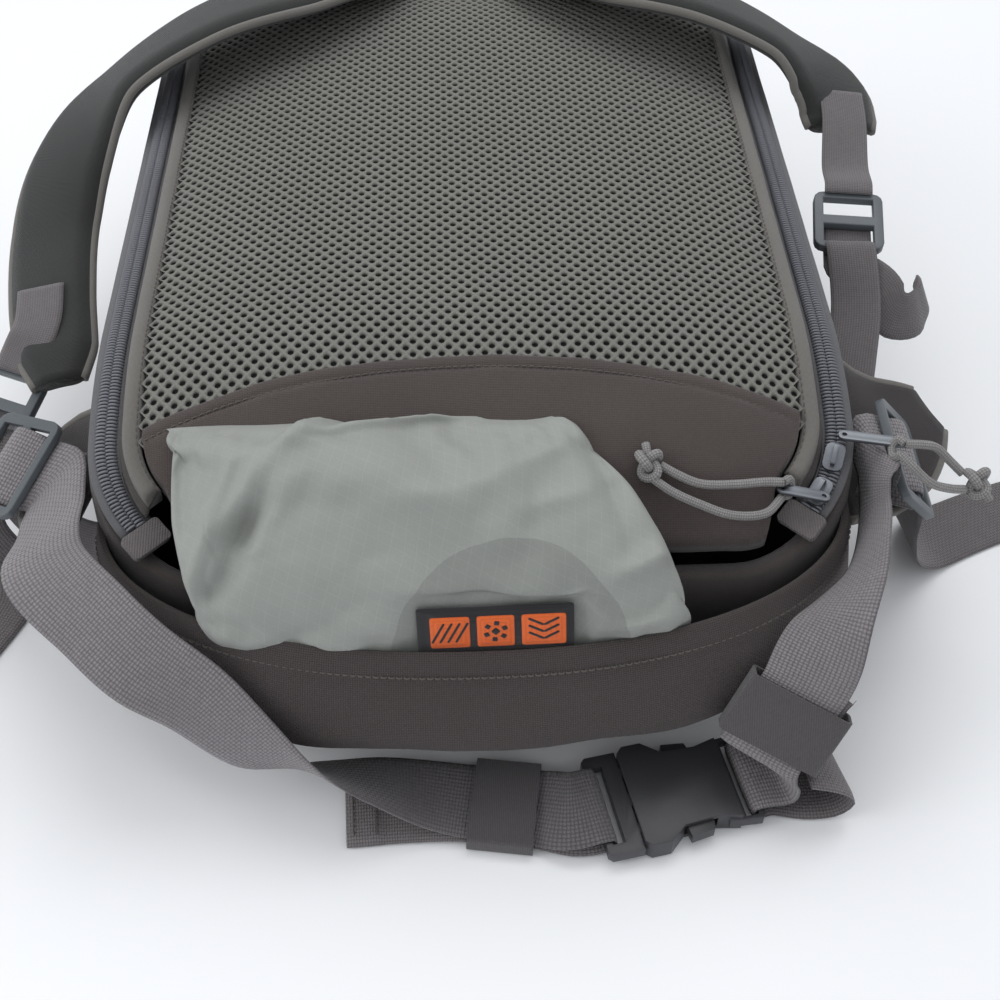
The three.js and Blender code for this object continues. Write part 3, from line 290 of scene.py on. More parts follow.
def cloth_finish(
    name, colour, pitch, depth, roughness, stretch=1.0, patch=0.12, fleck=0.15, gap=0.45, sheen=0.2
):
    """Woven cloth with uneven tone and the relief of its weave, and painted shade that darkens it between its
    threads.
    """
    finish, tree, shader = bare_finish(name, Roughness=roughness, Sheen_Weight=sheen)
    cloth_map = node(tree, "ShaderNodeUVMap", set_uv_map="Cloth").outputs["UV"]
    threads = dict(Vector=cloth_map, Pitch=pitch, Stretch=stretch)
    height = node(tree, "ShaderNodeGroup", set_node_tree=weave, **threads).outputs["Height"]
    amounts = dict(Patch=patch, Fleck=fleck, Fleck_Scale=0.5 / pitch)
    uneven = node(tree, "ShaderNodeGroup", set_node_tree=tone, **amounts)
    # Painted shade: the colour falls to the share gap in the hollows between the threads and is full on their
    # crowns.
    light_share = maths(tree, "MULTIPLY_ADD", height, 1 - gap, gap)
    tinted(tree, shader, colour, maths(tree, "MULTIPLY", light_share, uneven.outputs["Value"]))
    raised(tree, shader, height, depth, 0.8)
    return finish


braid = cloth_finish("cord_braid", srgb(150, 147, 146), 1.3 * MM, 0.5 * MM, 0.85, stretch=0.8, gap=0.35)

zip_end = Vector((158.73, -179.24, 116.86))
cord_runs = {
    "pull_cord_upper_a": [(32.3, 3.2, 16.1), (40.3, 3.7, 14.9), (48.3, 6.2, 10.1), (55.3, 3.2, 4.1),
                          (60.8, -0.8, 0.1)],
    "pull_cord_upper_b": [(29.3, -1.8, 15.1), (34.3, -6.8, 11.9), (43.3, -10.3, 4.6), (53.3, -9.3, -0.4),
                          (60.8, -7.3, -3.4)],
    "pull_cord_lower_a": [(-23.2, -10.8, 8.7), (-31.7, -10.8, 9.1), (-44.7, -10.8, 8.1), (-59.7, -10.1, 8.4),
                          (-69.7, -6.8, 11.1), (-77.2, -3.3, 13.9)],
    "pull_cord_lower_b": [(-23.2, -13.3, 1.9), (-31.7, -21.8, 0.9), (-46.7, -23.3, 1.9), (-60.7, -18.8, 4.6),
                          (-72.7, -13.8, 7.9), (-81.7, -8.8, 12.1)],
}
knot_places = {"upper": (67.4, -3.9, -2.1), "lower": (-82.2, -3.8, 15.4)}
tail_ways = {"upper": (3, -8, -3), "lower": (-2.5, 9, 5)}
knot_scale, knot_cord, tail_cord = 2.0 * MM, 2.1 * MM, 1.9 * MM


def off_zip(place):
    return (zip_end + Vector(place)) * MM


def cord_piece(name, line, radius, stands_for=()):
    return piece(name, *skin(tube(line, radius)), braid, "cord_braid", stands_for)


# Where the cords are hitched through the eye of each tag, one turn of cord shows.
hitch_places = {
    "upper": [(32.3, 3.2, 16.1), (30.2, 6.4, 16.0), (28.2, 6.2, 12.4), (27.6, 2.2, 10.4), (28.6, -1.2, 12.2),
              (29.3, -1.8, 15.1)],
    "lower": [(-23.2, -10.8, 8.7), (-20.4, -8.6, 8.2), (-18.8, -8.4, 4.6), (-19.6, -11.4, 1.4),
              (-23.2, -13.3, 1.9)],
}
for end, place in knot_places.items():
    tilt = Matrix.Rotation(0.6, 3, "X") @ Matrix.Rotation(0.5, 3, "Y")
    loop = []
    for i in range(64):
        t = 2 * math.pi * i / 64
        loop.append(off_zip(place) + tilt @ Vector((
            math.sin(t) + 1.9 * math.sin(2 * t),
            1.1 * (math.cos(t) - 1.9 * math.cos(2 * t)),
            -1.35 * math.sin(3 * t),
        )) * knot_scale)
    way = Vector(tail_ways[end]) * MM
    tail = [off_zip(place) + way * k / 4 + Vector((0.4 * k, 0, -0.1 * k * k)) * MM for k in range(5)]
    hitch = smooth_line([off_zip(p) for p in hitch_places[end]], 25)
    name = "cord_knot_" + end
    cord_piece(name + "_tied", loop + [loop[0]], knot_cord, [name])
    cord_piece(name + "_tail", tail, tail_cord)
    cord_piece("cord_hitch_" + end, hitch, tail_cord)

for name, run in cord_runs.items():
    line = smooth_line([off_zip(p) for p in run], 25)
    cord_piece(name + "_braid", line, cord_size / 2, [name])

# Body: the pack's case of coarse cordura over padding, an open tray under the back panel. Its sides lean in
# to the flat front that it lies on.
half_width, base_end, top_end = 176 * MM, 216 * MM, 262 * MM
base_corner, top_corner, deep = 61 * MM, 90 * MM, 157 * MM
zip_inset, rim_inset, wall = 11 * MM, 3 * MM, 7 * MM
zip_half = half_width - zip_inset
base_fall_from, top_fall_from = 95 * MM, 150 * MM
base_fall, top_fall, side_fall, rim_below = 61 * MM, 30 * MM, 16 * MM, 3.7 * MM
cordura = cloth_finish("cordura", srgb(82, 75, 73), 0.75 * MM, 0.3 * MM, 0.9)


def panel_height(x, y):
    base_run = max(0.0, -y - base_fall_from) / (base_end - base_fall_from)
    top_run = max(0.0, y - top_fall_from) / (top_end - top_fall_from)
    crest = deep - base_fall * base_run**2 - top_fall * top_run**2
    return crest - side_fall * (1 - 0.7 * base_run**2) * abs(x / zip_half) ** 4


def rim_height(y):
    return panel_height(zip_half, y) - rim_below


def corner(side_x, side_y, inset, start, end, steps):
    radius, reach = (base_corner, base_end) if side_y < 0 else (top_corner, top_end)
    centre = Vector((side_x * (half_width - radius), side_y * (reach - radius), 0))
    run = []
    for i in range(steps + 1):
        a = math.radians(start + (end - start) * i / steps)
        out = Vector((math.cos(a), math.sin(a), 0))
        run.append((centre + out * (radius - inset), out))
    return run


def joined(arcs, steps, closed):
    run = []
    for i, arc in enumerate(arcs):
        run += arc
        if closed or i + 1 < len(arcs):
            (a, out), (b, _) = arc[-1], arcs[(i + 1) % len(arcs)][0]
            run += [(a.lerp(b, k / steps[i]), out) for k in range(1, steps[i])]
    return run


def pack_outline(inset):
    arcs = [
        corner(1, -1, inset, -90, 0, 14),
        corner(1, 1, inset, 0, 90, 18),
        corner(-1, 1, inset, 90, 180, 18),
        corner(-1, -1, inset, 180, 270, 14),
    ]
    return joined(arcs, [44, 16, 44, 24], True)


def zip_run(inset):
    arcs = [
        corner(-1, -1, inset, 225, 180, 10),
        corner(-1, 1, inset, 180, 90, 20),
        corner(1, 1, inset, 90, 0, 20),
        corner(1, -1, inset, 0, -45, 10),
    ]
    return joined(arcs, [60, 16, 60], False)


def relief(point, size, scale, seed=0.0):
    return size * noise.noise(point * scale + Vector((seed, seed * 1.7, seed * 0.3)))


# Levels of the case: share of the height, and how far in from the pack's outline in millimetres.
body_levels = [(0, 34), (0.005, 27), (0.02, 20), (0.045, 14), (0.08, 9), (0.13, 5), (0.2, 2), (0.28, 0.6),
               (0.35, 0), (0.45, 0), (0.55, 0), (0.65, 0), (0.75, 0), (0.84, 0.3), (0.92, 1), (0.97, 2), (1, 3)]
rim_ys = [p.y for p, _ in pack_outline(rim_inset)]


def body_ring(rise, inset, floor, shift, rough):
    ring = []
    for (p, out), y in zip(pack_outline(inset * MM + shift), rim_ys):
        place = Vector((p.x, p.y, floor + rise * (rim_height(y) - floor)))
        swell = math.sin(math.pi * min(1, rise * 1.2)) if rough else 0
        dents = relief(place, 2.2 * MM * swell, 16), relief(place, 0.8 * MM * swell, 45)
        ring.append(place + out * dents[0] + out * dents[1])
    return ring


body_rings = [body_ring(rise, inset, 0, 0, True) for rise, inset in body_levels]
body_rings += [body_ring(rise, inset, wall, wall, False) for rise, inset in reversed(body_levels)]
piece("body_case", *skin(body_rings), cordura, "cordura", ["body_shell"])

# Stitches: lock stitches of thick thread, laid along each seam at an even pitch.


def along_tree():
    """Lays one part along lines at an even spacing, its length on the line and its top to the line's up."""
    tree, start, end = group_tree(
        "laid_along", "GeometryNodeTree", ("Lines", "INPUT", "Geometry"), ("Part", "INPUT", "Object"),
        ("Spacing", "INPUT", "Float"), ("Finish", "INPUT", "Material"), ("Laid", "OUTPUT", "Geometry"),
    )
    curve = node(tree, "GeometryNodeMeshToCurve", Mesh=start.outputs["Lines"])
    even = node(tree, "GeometryNodeResampleCurve", set_mode="LENGTH", Curve=curve.outputs[0],
                Length=start.outputs["Spacing"])
    part = node(tree, "GeometryNodeObjectInfo", Object=start.outputs["Part"])
    tangent = tree.nodes.new("GeometryNodeInputTangent")
    up = node(tree, "GeometryNodeInputNamedAttribute", set_data_type="FLOAT_VECTOR", Name="up")
    turn = node(tree, "FunctionNodeAlignRotationToVector", set_axis="Y", Vector=tangent.outputs[0])
    face = node(tree, "FunctionNodeAlignRotationToVector", set_axis="Z", set_pivot_axis="Y",
                Rotation=turn.outputs[0], Vector=up.outputs[0])
    laid = node(tree, "GeometryNodeInstanceOnPoints", Points=even.outputs[0], Instance=part.outputs["Geometry"],
                Rotation=face.outputs[0])
    real = node(tree, "GeometryNodeRealizeInstances", Geometry=laid.outputs[0])
    done = node(tree, "GeometryNodeSetMaterial", Geometry=real.outputs[0], Material=start.outputs["Finish"])
    tree.links.new(done.outputs[0], end.inputs["Laid"])
    return tree


laid_along_tree = along_tree()


def tree_result(name, start_mesh, tree, values, stands_for=()):
    """The plain mesh that a tree makes of a starting mesh, as a piece of its own."""
    start = set_out(name + "_start", start_mesh)
    step = start.modifiers.new("tree", "NODES")
    step.node_group = tree
    sockets = {item.name: item.identifier for item in tree.interface.items_tree if item.in_out == "INPUT"}
    for key, value in values.items():
        step[sockets[key]] = value
    mesh = bpy.data.meshes.new_from_object(start.evaluated_get(bpy.context.evaluated_depsgraph_get()))
    bpy.data.objects.remove(start)
    mesh.name = name
    return on_pack(name, mesh, stands_for)


def small_part(name, rings):
    """A little part round its own centre, for a tree to lay out."""
    points, faces, _ = skin(rings)
    mesh = new_mesh(name, points, faces=faces)
    faced_out(mesh)
    return bpy.data.objects.new(name, mesh)


def laid_along(name, lines, part, spacing, finish):
    """Each line is a list of (place, up)."""
    points, edges, ups = [], [], []
    for line in lines:
        first = len(points)
        points += [p for p, _ in line]
        ups += [tuple(u) for _, u in line]
        edges += [(first + i, first + i + 1) for i in range(len(line) - 1)]
    mesh = new_mesh(name + "_lines", points, edges)
    up = mesh.attributes.new("up", "FLOAT_VECTOR", "POINT")
    up.data.foreach_set("vector", np.array(ups, np.float32).ravel())
    tree_result(name, mesh, laid_along_tree, {"Part": part, "Spacing": spacing, "Finish": finish})


def stitch_part(name, length, size):
    line = [Vector((0, length * s, 0)) for s in (-0.5, -0.3, 0, 0.3, 0.5)]
    heights = (-0.5, 0.15, 0.3, 0.15, -0.5)
    line = [p + Vector((0, 0, h * size)) for p, h in zip(line, heights)]
    return small_part(name, tube(line, size / 2, 6))


thread = cloth_finish("seam_thread", srgb(104, 96, 90), 0.4 * MM, 0.1 * MM, 0.7, gap=0.6)
seam_stitch = stitch_part("seam_stitch", 2.5 * MM, 0.7 * MM)
stitch_step = 3.4 * MM

# Back panel: spacer mesh with rows of round holes over dark foam. Its lower edge is an arch, sewn under the
# lumbar panel, and its sides run under the binding.
panel_half = 148.4 * MM
hole_across, hole_down, hole_radius = 6.5 * MM, 6.8 * MM, 1.62 * MM


def arch(x):
    return -132 * MM - 24 * MM * (x / panel_half) ** 2


def corner_reach(x, radius, flat):
    return math.sqrt(max(0.0, radius**2 - max(0.0, abs(x) - flat) ** 2))


def mesh_top(x, grow=0.0):
    return top_end - top_corner + corner_reach(x, top_corner - 28.3 * MM + grow, half_width - top_corner)


def on_panel(x, y, lift=0.0):
    return Vector((x, y, panel_height(x, y) + lift))


def grid_block(columns, rows, place, drop):
    """A slab over a grid, closed by its underside, which lies drop below it."""
    across, down = len(columns), len(rows)
    top = [place(u, v) for v in rows for u in columns]
    points = top + [p + Vector((0, 0, -drop)) for p in top]
    count = len(top)
    flat = [(p.x, p.y) for p in points]
    faces = []
    for r in range(down - 1):
        for c in range(across - 1):
            a = r * across + c
            faces.append((a, a + 1, a + 1 + across, a + across))
            faces.append(tuple(count + k for k in (a + across, a + across + 1, a + 1, a)))
    rim = list(range(across)) + [r * across + across - 1 for r in range(1, down)]
    rim += [(down - 1) * across + c for c in range(across - 2, -1, -1)]
    rim += [r * across for r in range(down - 2, 0, -1)]
    for a, b in zip(rim, rim[1:] + rim[:1]):
        faces.append((b, a, count + a, count + b))
    return points, faces, [[flat[i] for i in face] for face in faces]


foam_black = cloth_finish("panel_foam", srgb(30, 30, 28), 0.8 * MM, 0.2 * MM, 0.95)
foam_thick, yoke_thick = 9 * MM, 8 * MM
columns = [i / 30 for i in range(-30, 31)]
rows = [i / 60 for i in range(61)]


def foam_place(u, v):
    x = u * (panel_half - 0.3 * MM)
    y = arch(x) - 3 * MM + v * (mesh_top(x) - arch(x) + 3 * MM)
    return on_panel(x, y, -2.0 * MM)


foam = piece("panel_foam", *grid_block(columns, rows, foam_place, foam_thick), foam_black, "spacer_mesh")

# One cell of the mesh: a four-sided patch round a hole down to the foam. Its depth sets painted shade, which
# darkens the hole's wall and floor towards its bottom.
corners = [(hole_across / 2, 0), (0, hole_down / 2), (-hole_across / 2, 0), (0, -hole_down / 2)]
patch = [corners[0]]
for (ax, ay), (bx, by) in zip(corners, corners[1:] + corners[:1]):
    patch += [((ax + bx) / 2, (ay + by) / 2), (bx, by)]
patch.pop()
turns = [2 * math.pi * i / 8 for i in range(8)]
cell_points = [(x, y, 0.0) for x, y in patch]
for radius, z in ((hole_radius, -0.35 * MM), (0.86 * hole_radius, -1.9 * MM)):
    cell_points += [(radius * math.cos(t), radius * math.sin(t), z) for t in turns]
cell_faces = []
for i in range(8):
    j = (i + 1) % 8
    cell_faces += [(i, j, 8 + j, 8 + i), (8 + i, 8 + j, 16 + j, 16 + i)]
cell_faces.append(tuple(range(16, 24)))
cell_mesh = new_mesh("mesh_cell", cell_points, faces=cell_faces)
depth_values = [0.0] * 8 + [0.25] * 8 + [1.0] * 8
cell_mesh.attributes.new("depth", "FLOAT", "POINT").data.foreach_set("value", depth_values)
mesh_cell = bpy.data.objects.new("mesh_cell", cell_mesh)

lattice = []
for row in range(-50, 90):
    y = row * hole_down / 2
    for column in range(-24, 25):
        x = (column + 0.5 * (row % 2)) * hole_across
        inside = abs(x) < panel_half + 1.0 * MM and arch(min(abs(x), panel_half)) - 5 * MM < y
        if inside and y < mesh_top(x, 1.0 * MM):
            lattice.append((x, y, 0))
surface_points, surface_faces, _ = grid_block(
    [i / 40 for i in range(-40, 41)], [i / 80 for i in range(81)],
    lambda u, v: on_panel(u * 160 * MM, -185 * MM + v * 450 * MM), 40 * MM,
)
surface_mesh = new_mesh("panel_surface", surface_points, faces=surface_faces)
panel_surface = bpy.data.objects.new("panel_surface", surface_mesh)

# The sheet: cells on the lattice, welded, laid down on the panel's surface and puffed a little.
mesh_tree, start, end = group_tree(
    "spacer_mesh_sheet", "GeometryNodeTree", ("Lattice", "INPUT", "Geometry"), ("Cell", "INPUT", "Object"),
    ("Surface", "INPUT", "Object"), ("Puff", "INPUT", "Float"), ("Finish", "INPUT", "Material"),
    ("Sheet", "OUTPUT", "Geometry"),
)
cell_info = node(mesh_tree, "GeometryNodeObjectInfo", Object=start.outputs["Cell"])
surface_info = node(mesh_tree, "GeometryNodeObjectInfo", Object=start.outputs["Surface"])
cells = node(mesh_tree, "GeometryNodeInstanceOnPoints", Points=start.outputs["Lattice"],
             Instance=cell_info.outputs["Geometry"])
real = node(mesh_tree, "GeometryNodeRealizeInstances", Geometry=cells.outputs[0])
welded = node(mesh_tree, "GeometryNodeMergeByDistance", Geometry=real.outputs[0], Distance=0.02 * MM)
here = mesh_tree.nodes.new("GeometryNodeInputPosition").outputs[0]
parts = node(mesh_tree, "ShaderNodeSeparateXYZ", Vector=here)
above = node(mesh_tree, "ShaderNodeCombineXYZ", X=parts.outputs["X"], Y=parts.outputs["Y"], Z=0.4)
ray = node(mesh_tree, "GeometryNodeRaycast", Target_Geometry=surface_info.outputs["Geometry"],
           Source_Position=above.outputs[0], Ray_Direction=(0, 0, -1), Ray_Length=1.0)
ground = node(mesh_tree, "ShaderNodeSeparateXYZ", Vector=ray.outputs["Hit Position"])
waves = node(mesh_tree, "ShaderNodeTexNoise", Vector=here, Scale=22.0, Detail=1.0)
puffed = maths(mesh_tree, "SUBTRACT", waves.outputs[0], 0.5)
puffed = maths(mesh_tree, "MULTIPLY", puffed, start.outputs["Puff"])
height = maths(mesh_tree, "ADD", maths(mesh_tree, "ADD", ground.outputs["Z"], parts.outputs["Z"]), puffed)
moved = node(mesh_tree, "ShaderNodeCombineXYZ", X=parts.outputs["X"], Y=parts.outputs["Y"], Z=height)
laid = node(mesh_tree, "GeometryNodeSetPosition", Geometry=welded.outputs[0], Position=moved.outputs[0])
done = node(mesh_tree, "GeometryNodeSetMaterial", Geometry=laid.outputs[0], Material=start.outputs["Finish"])
mesh_tree.links.new(done.outputs[0], end.inputs["Sheet"])

mesh_finish, tree, shader = bare_finish("spacer_mesh", Roughness=0.9)
where = tree.nodes.new("ShaderNodeTexCoord").outputs["Object"]
depth = node(tree, "ShaderNodeAttribute", set_attribute_name="depth").outputs["Fac"]
knit = node(tree, "ShaderNodeTexVoronoi", Vector=where, Scale=1900.0)
uneven = node(tree, "ShaderNodeGroup", set_node_tree=tone, Patch=0.08, Fleck=0.25, Fleck_Scale=1500)
# Painted shade: each hole's wall and floor darken with depth, down to 3.5 per cent of the mesh colour at the
# bottom.
shade = node(tree, "ShaderNodeMapRange", Value=depth, From_Min=0.05, From_Max=0.8, To_Min=1.0, To_Max=0.035)
value = maths(tree, "MULTIPLY", shade.outputs[0], uneven.outputs["Value"])
tinted(tree, shader, srgb(119, 118, 113), value)
raised(tree, shader, knit.outputs["Distance"], 0.25 * MM, 0.6)
sheet_values = {"Cell": mesh_cell, "Surface": panel_surface, "Puff": 0.8 * MM, "Finish": mesh_finish}
lattice_mesh = new_mesh("mesh_lattice", lattice)
tree_result("panel_mesh", lattice_mesh, mesh_tree, sheet_values, ["back_panel"])

# Lumbar panel: brown cordura over foam below the arch, its folded edge stitched down on the mesh. Its lower
# edge goes down behind the rain cover.
yoke_cloth = cloth_finish("lumbar_cordura", srgb(82, 73, 70), 0.75 * MM, 0.3 * MM, 0.9, patch=0.16)


def base_line(x, inset):
    return -(base_end - base_corner) - corner_reach(x, base_corner - inset, half_width - base_corner)


def within(share):
    return min(1.0, max(0.0, share))


def yoke_base(x):
    t = within((abs(x) - 128 * MM) / (8 * MM))
    notch = t * t * (3 - 2 * t)
    return (1 - notch) * base_line(x, 10.3 * MM) + notch * base_line(x, 28.3 * MM)


def yoke_place(u, v):
    x = u * (panel_half - 1.0 * MM)
    edge = arch(x) + 1.5 * MM
    y = yoke_base(x) + v * (edge - yoke_base(x))
    gap = edge - y
    lift = 1.3 * MM * (1 - math.exp(-gap / (1.0 * MM)))
    lift -= 0.75 * MM * math.exp(-((gap - 6.5 * MM) / (1.1 * MM)) ** 2)
    lift -= 0.8 * MM * math.exp(-gap / (0.5 * MM))
    place = on_panel(x, y, lift)
    place.z += relief(place, 1.3 * MM, 22, 3.0) + relief(place, 0.45 * MM, 60, 5.0)
    return place


yoke_columns = [i / 70 for i in range(-70, 71)]
yoke_rows = [1 - (1 - i / 44) ** 1.8 for i in range(45)]
yoke_block = grid_block(yoke_columns, yoke_rows, yoke_place, yoke_thick)
yoke = piece("lumbar_panel", *yoke_block, yoke_cloth, "cordura", ["lumbar_yoke"])
arch_line = []
for i in range(-70, 71):
    x = i / 70 * (panel_half - 3 * MM)
    arch_line.append((on_panel(x, arch(x) - 5.0 * MM, 0.75 * MM), (0, 0, 1)))
laid_along("arch_stitches", [arch_line], seam_stitch, stitch_step, thread)

# Binding: folded tape round a cord, sewn between the panel and the zip.
binding_tape = cloth_finish("binding_tape", srgb(120, 117, 112), 0.55 * MM, 0.2 * MM, 0.85)


def edge_strip(inset, profile, height, rough=0.0):
    rings = []
    for p, out in zip_run(inset):
        ring = []
        for d, h in profile:
            place = p + out * d * MM
            place.z = height(p) + h * MM + relief(place, rough, 40)
            ring.append(place)
        rings.append(ring)
    return rings


roll = [(-4, -7), (4, -7), (4.1, -1), (3.9, 0.6), (3.2, 1.6), (2, 2.2), (0.6, 2.4), (-0.9, 2.2), (-2.2, 1.6),
        (-3.3, 0.7), (-4.1, -0.6)]
binding_inset = 23.3 * MM
rings = edge_strip(binding_inset, roll, lambda p: panel_height(p.x, p.y), 0.5 * MM)
piece("panel_binding_roll", *skin(rings), binding_tape, "binding_tape", ["panel_binding"])
binding_line = [(p + Vector((0, 0, panel_height(p.x, p.y) + 1.2 * MM)) - out * 2.6 * MM, (0, 0, 1))
                for p, out in zip_run(binding_inset)]
laid_along("binding_stitches", [binding_line], seam_stitch, stitch_step, thread)

# Gusset: cordura from the binding down to the zip, which closes the panel's crown to the case at the top end.
gusset_rings = []
for (low, out), (high, _) in zip(zip_run(zip_inset + 5.5 * MM), zip_run(25 * MM)):
    foot_place = Vector((low.x, low.y, rim_height(low.y) + 0.6 * MM))
    head_place = Vector((high.x, high.y, panel_height(high.x, high.y) - 1.5 * MM))
    swell = [out * 1.5 * MM * math.sin(math.pi * k / 5) for k in range(6)]
    outer = [foot_place.lerp(head_place, k / 5) + swell[k] for k in range(6)]
    gusset_rings.append(outer + [p - out * 1.4 * MM for p in reversed(outer)])
piece("panel_gusset", *skin(gusset_rings), cordura, "cordura")

# Zip: a coil of two rows of nylon loops on woven tapes, sewn round the rim of the case. It opens the panel.
zip_tape = cloth_finish("zip_tape", srgb(104, 104, 107), 0.6 * MM, 0.15 * MM, 0.8)
tape_profile = [(-8, 0), (8, 0), (8.2, 0.6), (8, 1.2), (4.6, 1.35), (0, 1.35), (-4.6, 1.35), (-8, 1.2),
                (-8.2, 0.6)]
rings = edge_strip(zip_inset, tape_profile, lambda p: rim_height(p.y) + 0.3 * MM, 0.3 * MM)
piece("zip_tapes", *skin(rings), zip_tape, "zip_coil", ["zip_chain"])
coil, tree, shader = bare_finish("coil_nylon", Roughness=0.42)
uneven = node(tree, "ShaderNodeGroup", set_node_tree=tone, Patch=0.2)
tinted(tree, shader, srgb(112, 113, 119), uneven.outputs["Value"])
coil_step, coil_wire = 1.75 * MM, 0.62 * MM
tooth_places = ((0.2, 0, 0.2), (0.3, 0, 1.5), (1.2, 0, 2.1), (3.0, 0, 1.9), (4.1, 0, 1.1), (4.3, 0, 0.1))
tooth_line = [Vector(p) * MM for p in tooth_places]
tooth = small_part("coil_tooth", tube(smooth_line(tooth_line, 8), coil_wire, 6))
other_line = [Vector((-p.x, 0, p.z)) for p in tooth_line]
other_tooth = small_part("coil_tooth_other", tube(smooth_line(other_line, 8), coil_wire, 6))
coil_line = [(p + Vector((0, 0, rim_height(p.y) + 1.5 * MM)), (0, 0, 1)) for p, _ in zip_run(zip_inset)]
laid_along("zip_coil_outer", [coil_line], tooth, coil_step, coil)
half_step = [(coil_line[0][0].lerp(coil_line[1][0], 0.2), (0, 0, 1))] + coil_line[1:]
laid_along("zip_coil_inner", [half_step], other_tooth, coil_step, coil)

# Zip sliders, tags and end tabs: die-cast sliders and pressed tags, and ribbed webbing folded over the zip's
# two ends and stitched down.


def grain_finish(name, colour, roughness, grain, depth, metallic=0.0):
    """Moulded or cast finish with a fine grain, uneven in tone and gloss."""
    finish, tree, shader = bare_finish(name, Metallic=metallic)
    where = tree.nodes.new("ShaderNodeTexCoord").outputs["Object"]
    grains = node(tree, "ShaderNodeTexNoise", Vector=where, Scale=grain, Detail=3.0)
    smudge = node(tree, "ShaderNodeTexNoise", Vector=where, Scale=60.0, Detail=4.0)
    uneven = node(tree, "ShaderNodeGroup", set_node_tree=tone, Patch=0.15, Fleck_Scale=grain)
    tinted(tree, shader, colour, uneven.outputs["Value"])
    rough = maths(tree, "MULTIPLY_ADD", smudge.outputs[0], 0.22, roughness - 0.11)
    tree.links.new(rough, shader.inputs["Roughness"])
    raised(tree, shader, grains.outputs[0], depth, 0.5)
    return finish


def box_map(mesh):
    """A cloth map in metres that lies flat on each face's main direction."""
    cloth = mesh.uv_layers.new(name="Cloth")
    for face in mesh.polygons:
        n = [abs(c) for c in face.normal]
        a, b = {0: (1, 2), 1: (0, 2), 2: (0, 1)}[n.index(max(n))]
        for k in face.loop_indices:
            place = mesh.vertices[mesh.loops[k].vertex_index].co
            cloth.data[k].uv = (place[a], place[b])


def softened(name, cad_node, finish, edge, segments=2):
    """A CAD solid's shape with its edges rounded, in a finish of its own."""
    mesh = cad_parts[cad_node].data.copy()
    mesh.name = name
    work = bmesh.new()
    work.from_mesh(mesh)
    bmesh.ops.remove_doubles(work, verts=work.verts, dist=1e-6)
    bmesh.ops.dissolve_limit(work, angle_limit=math.radians(1), verts=work.verts, edges=work.edges)
    sharp = [e for e in work.edges if len(e.link_faces) == 2 and e.calc_face_angle(0) > math.radians(25)]
    bmesh.ops.bevel(
        work, geom=sharp, offset=edge, segments=segments, profile=0.6, affect="EDGES", clamp_overlap=True
    )
    bmesh.ops.triangulate(work, faces=[f for f in work.faces if len(f.verts) > 4])
    bmesh.ops.recalc_face_normals(work, faces=work.faces)
    work.to_mesh(mesh)
    work.free()
    mesh.materials.clear()
    mesh.materials.append(finish)
    mesh.polygons.foreach_set("use_smooth", [False] * len(mesh.polygons))
    mesh.set_sharp_from_angle(angle=math.radians(40))
    box_map(mesh)
    on_pack(name, mesh, [cad_node])


pull_metal = grain_finish("pull_metal", srgb(118, 121, 126), 0.42, 900, 0.05 * MM, metallic=1.0)
for place in ("upper", "lower"):
    softened("zip_slider_cast_" + place, "zip_slider_" + place, pull_metal, 0.6 * MM)
    softened("zip_tag_" + place, "zip_pull_" + place, pull_metal, 0.35 * MM)
tab_webbing = cloth_finish("tab_webbing", srgb(118, 112, 112), 1.1 * MM, 0.5 * MM, 0.85, stretch=0.6)
for side in ("left", "right"):
    softened("zip_tab_" + side, "zip_end_tab_" + side, tab_webbing, 1.2 * MM, 3)

# Rain cover pocket: one piece of cordura, sewn to the case at its sides and base. Its lip is turned over in a
# stitched hem.
pocket_cloth = cloth_finish("pocket_cordura", srgb(76, 68, 67), 1.0 * MM, 0.5 * MM, 0.88, patch=0.16, gap=0.3,
                            sheen=0.1)
side_seam, bulge_out, lip_height, lip_rise, pocket_foot = 170 * MM, 102 * MM, 90 * MM, 9 * MM, 1.5 * MM
pocket_wall = 2.4 * MM
pocket_levels = [(0, 0.84, 0.53), (0.12, 0.93, 0.68), (0.27, 0.98, 0.83), (0.5, 1.01, 1), (0.72, 1, 0.95),
                 (0.88, 0.985, 0.87), (1, 0.97, 0.79)]


def pocket_level(rise):
    places = [Vector(level) for level in pocket_levels]
    low, high = 0.0, 1.0
    for _ in range(22):
        middle = (low + high) / 2
        low, high = (middle, high) if smooth_point(places, middle).x < rise else (low, middle)
    found = smooth_point(places, low)
    return found.y, found.z


def squarer(value, power):
    """A sine or cosine bent towards a square."""
    return math.copysign(abs(value) ** power, value)


def pocket_place(turn, rise, inward):
    half, bulge = pocket_level(rise)
    w, d = half * half_width - inward, bulge * bulge_out - inward
    c, s = math.cos(turn), math.sin(turn)
    x = -w * squarer(c, 2 / 2.3)
    y = -side_seam - d * max(0.0, s) ** (2 / 2.3)
    z = pocket_foot + rise * (lip_height - pocket_foot + lip_rise * (x / w) ** 2)
    return Vector((x, y, z))


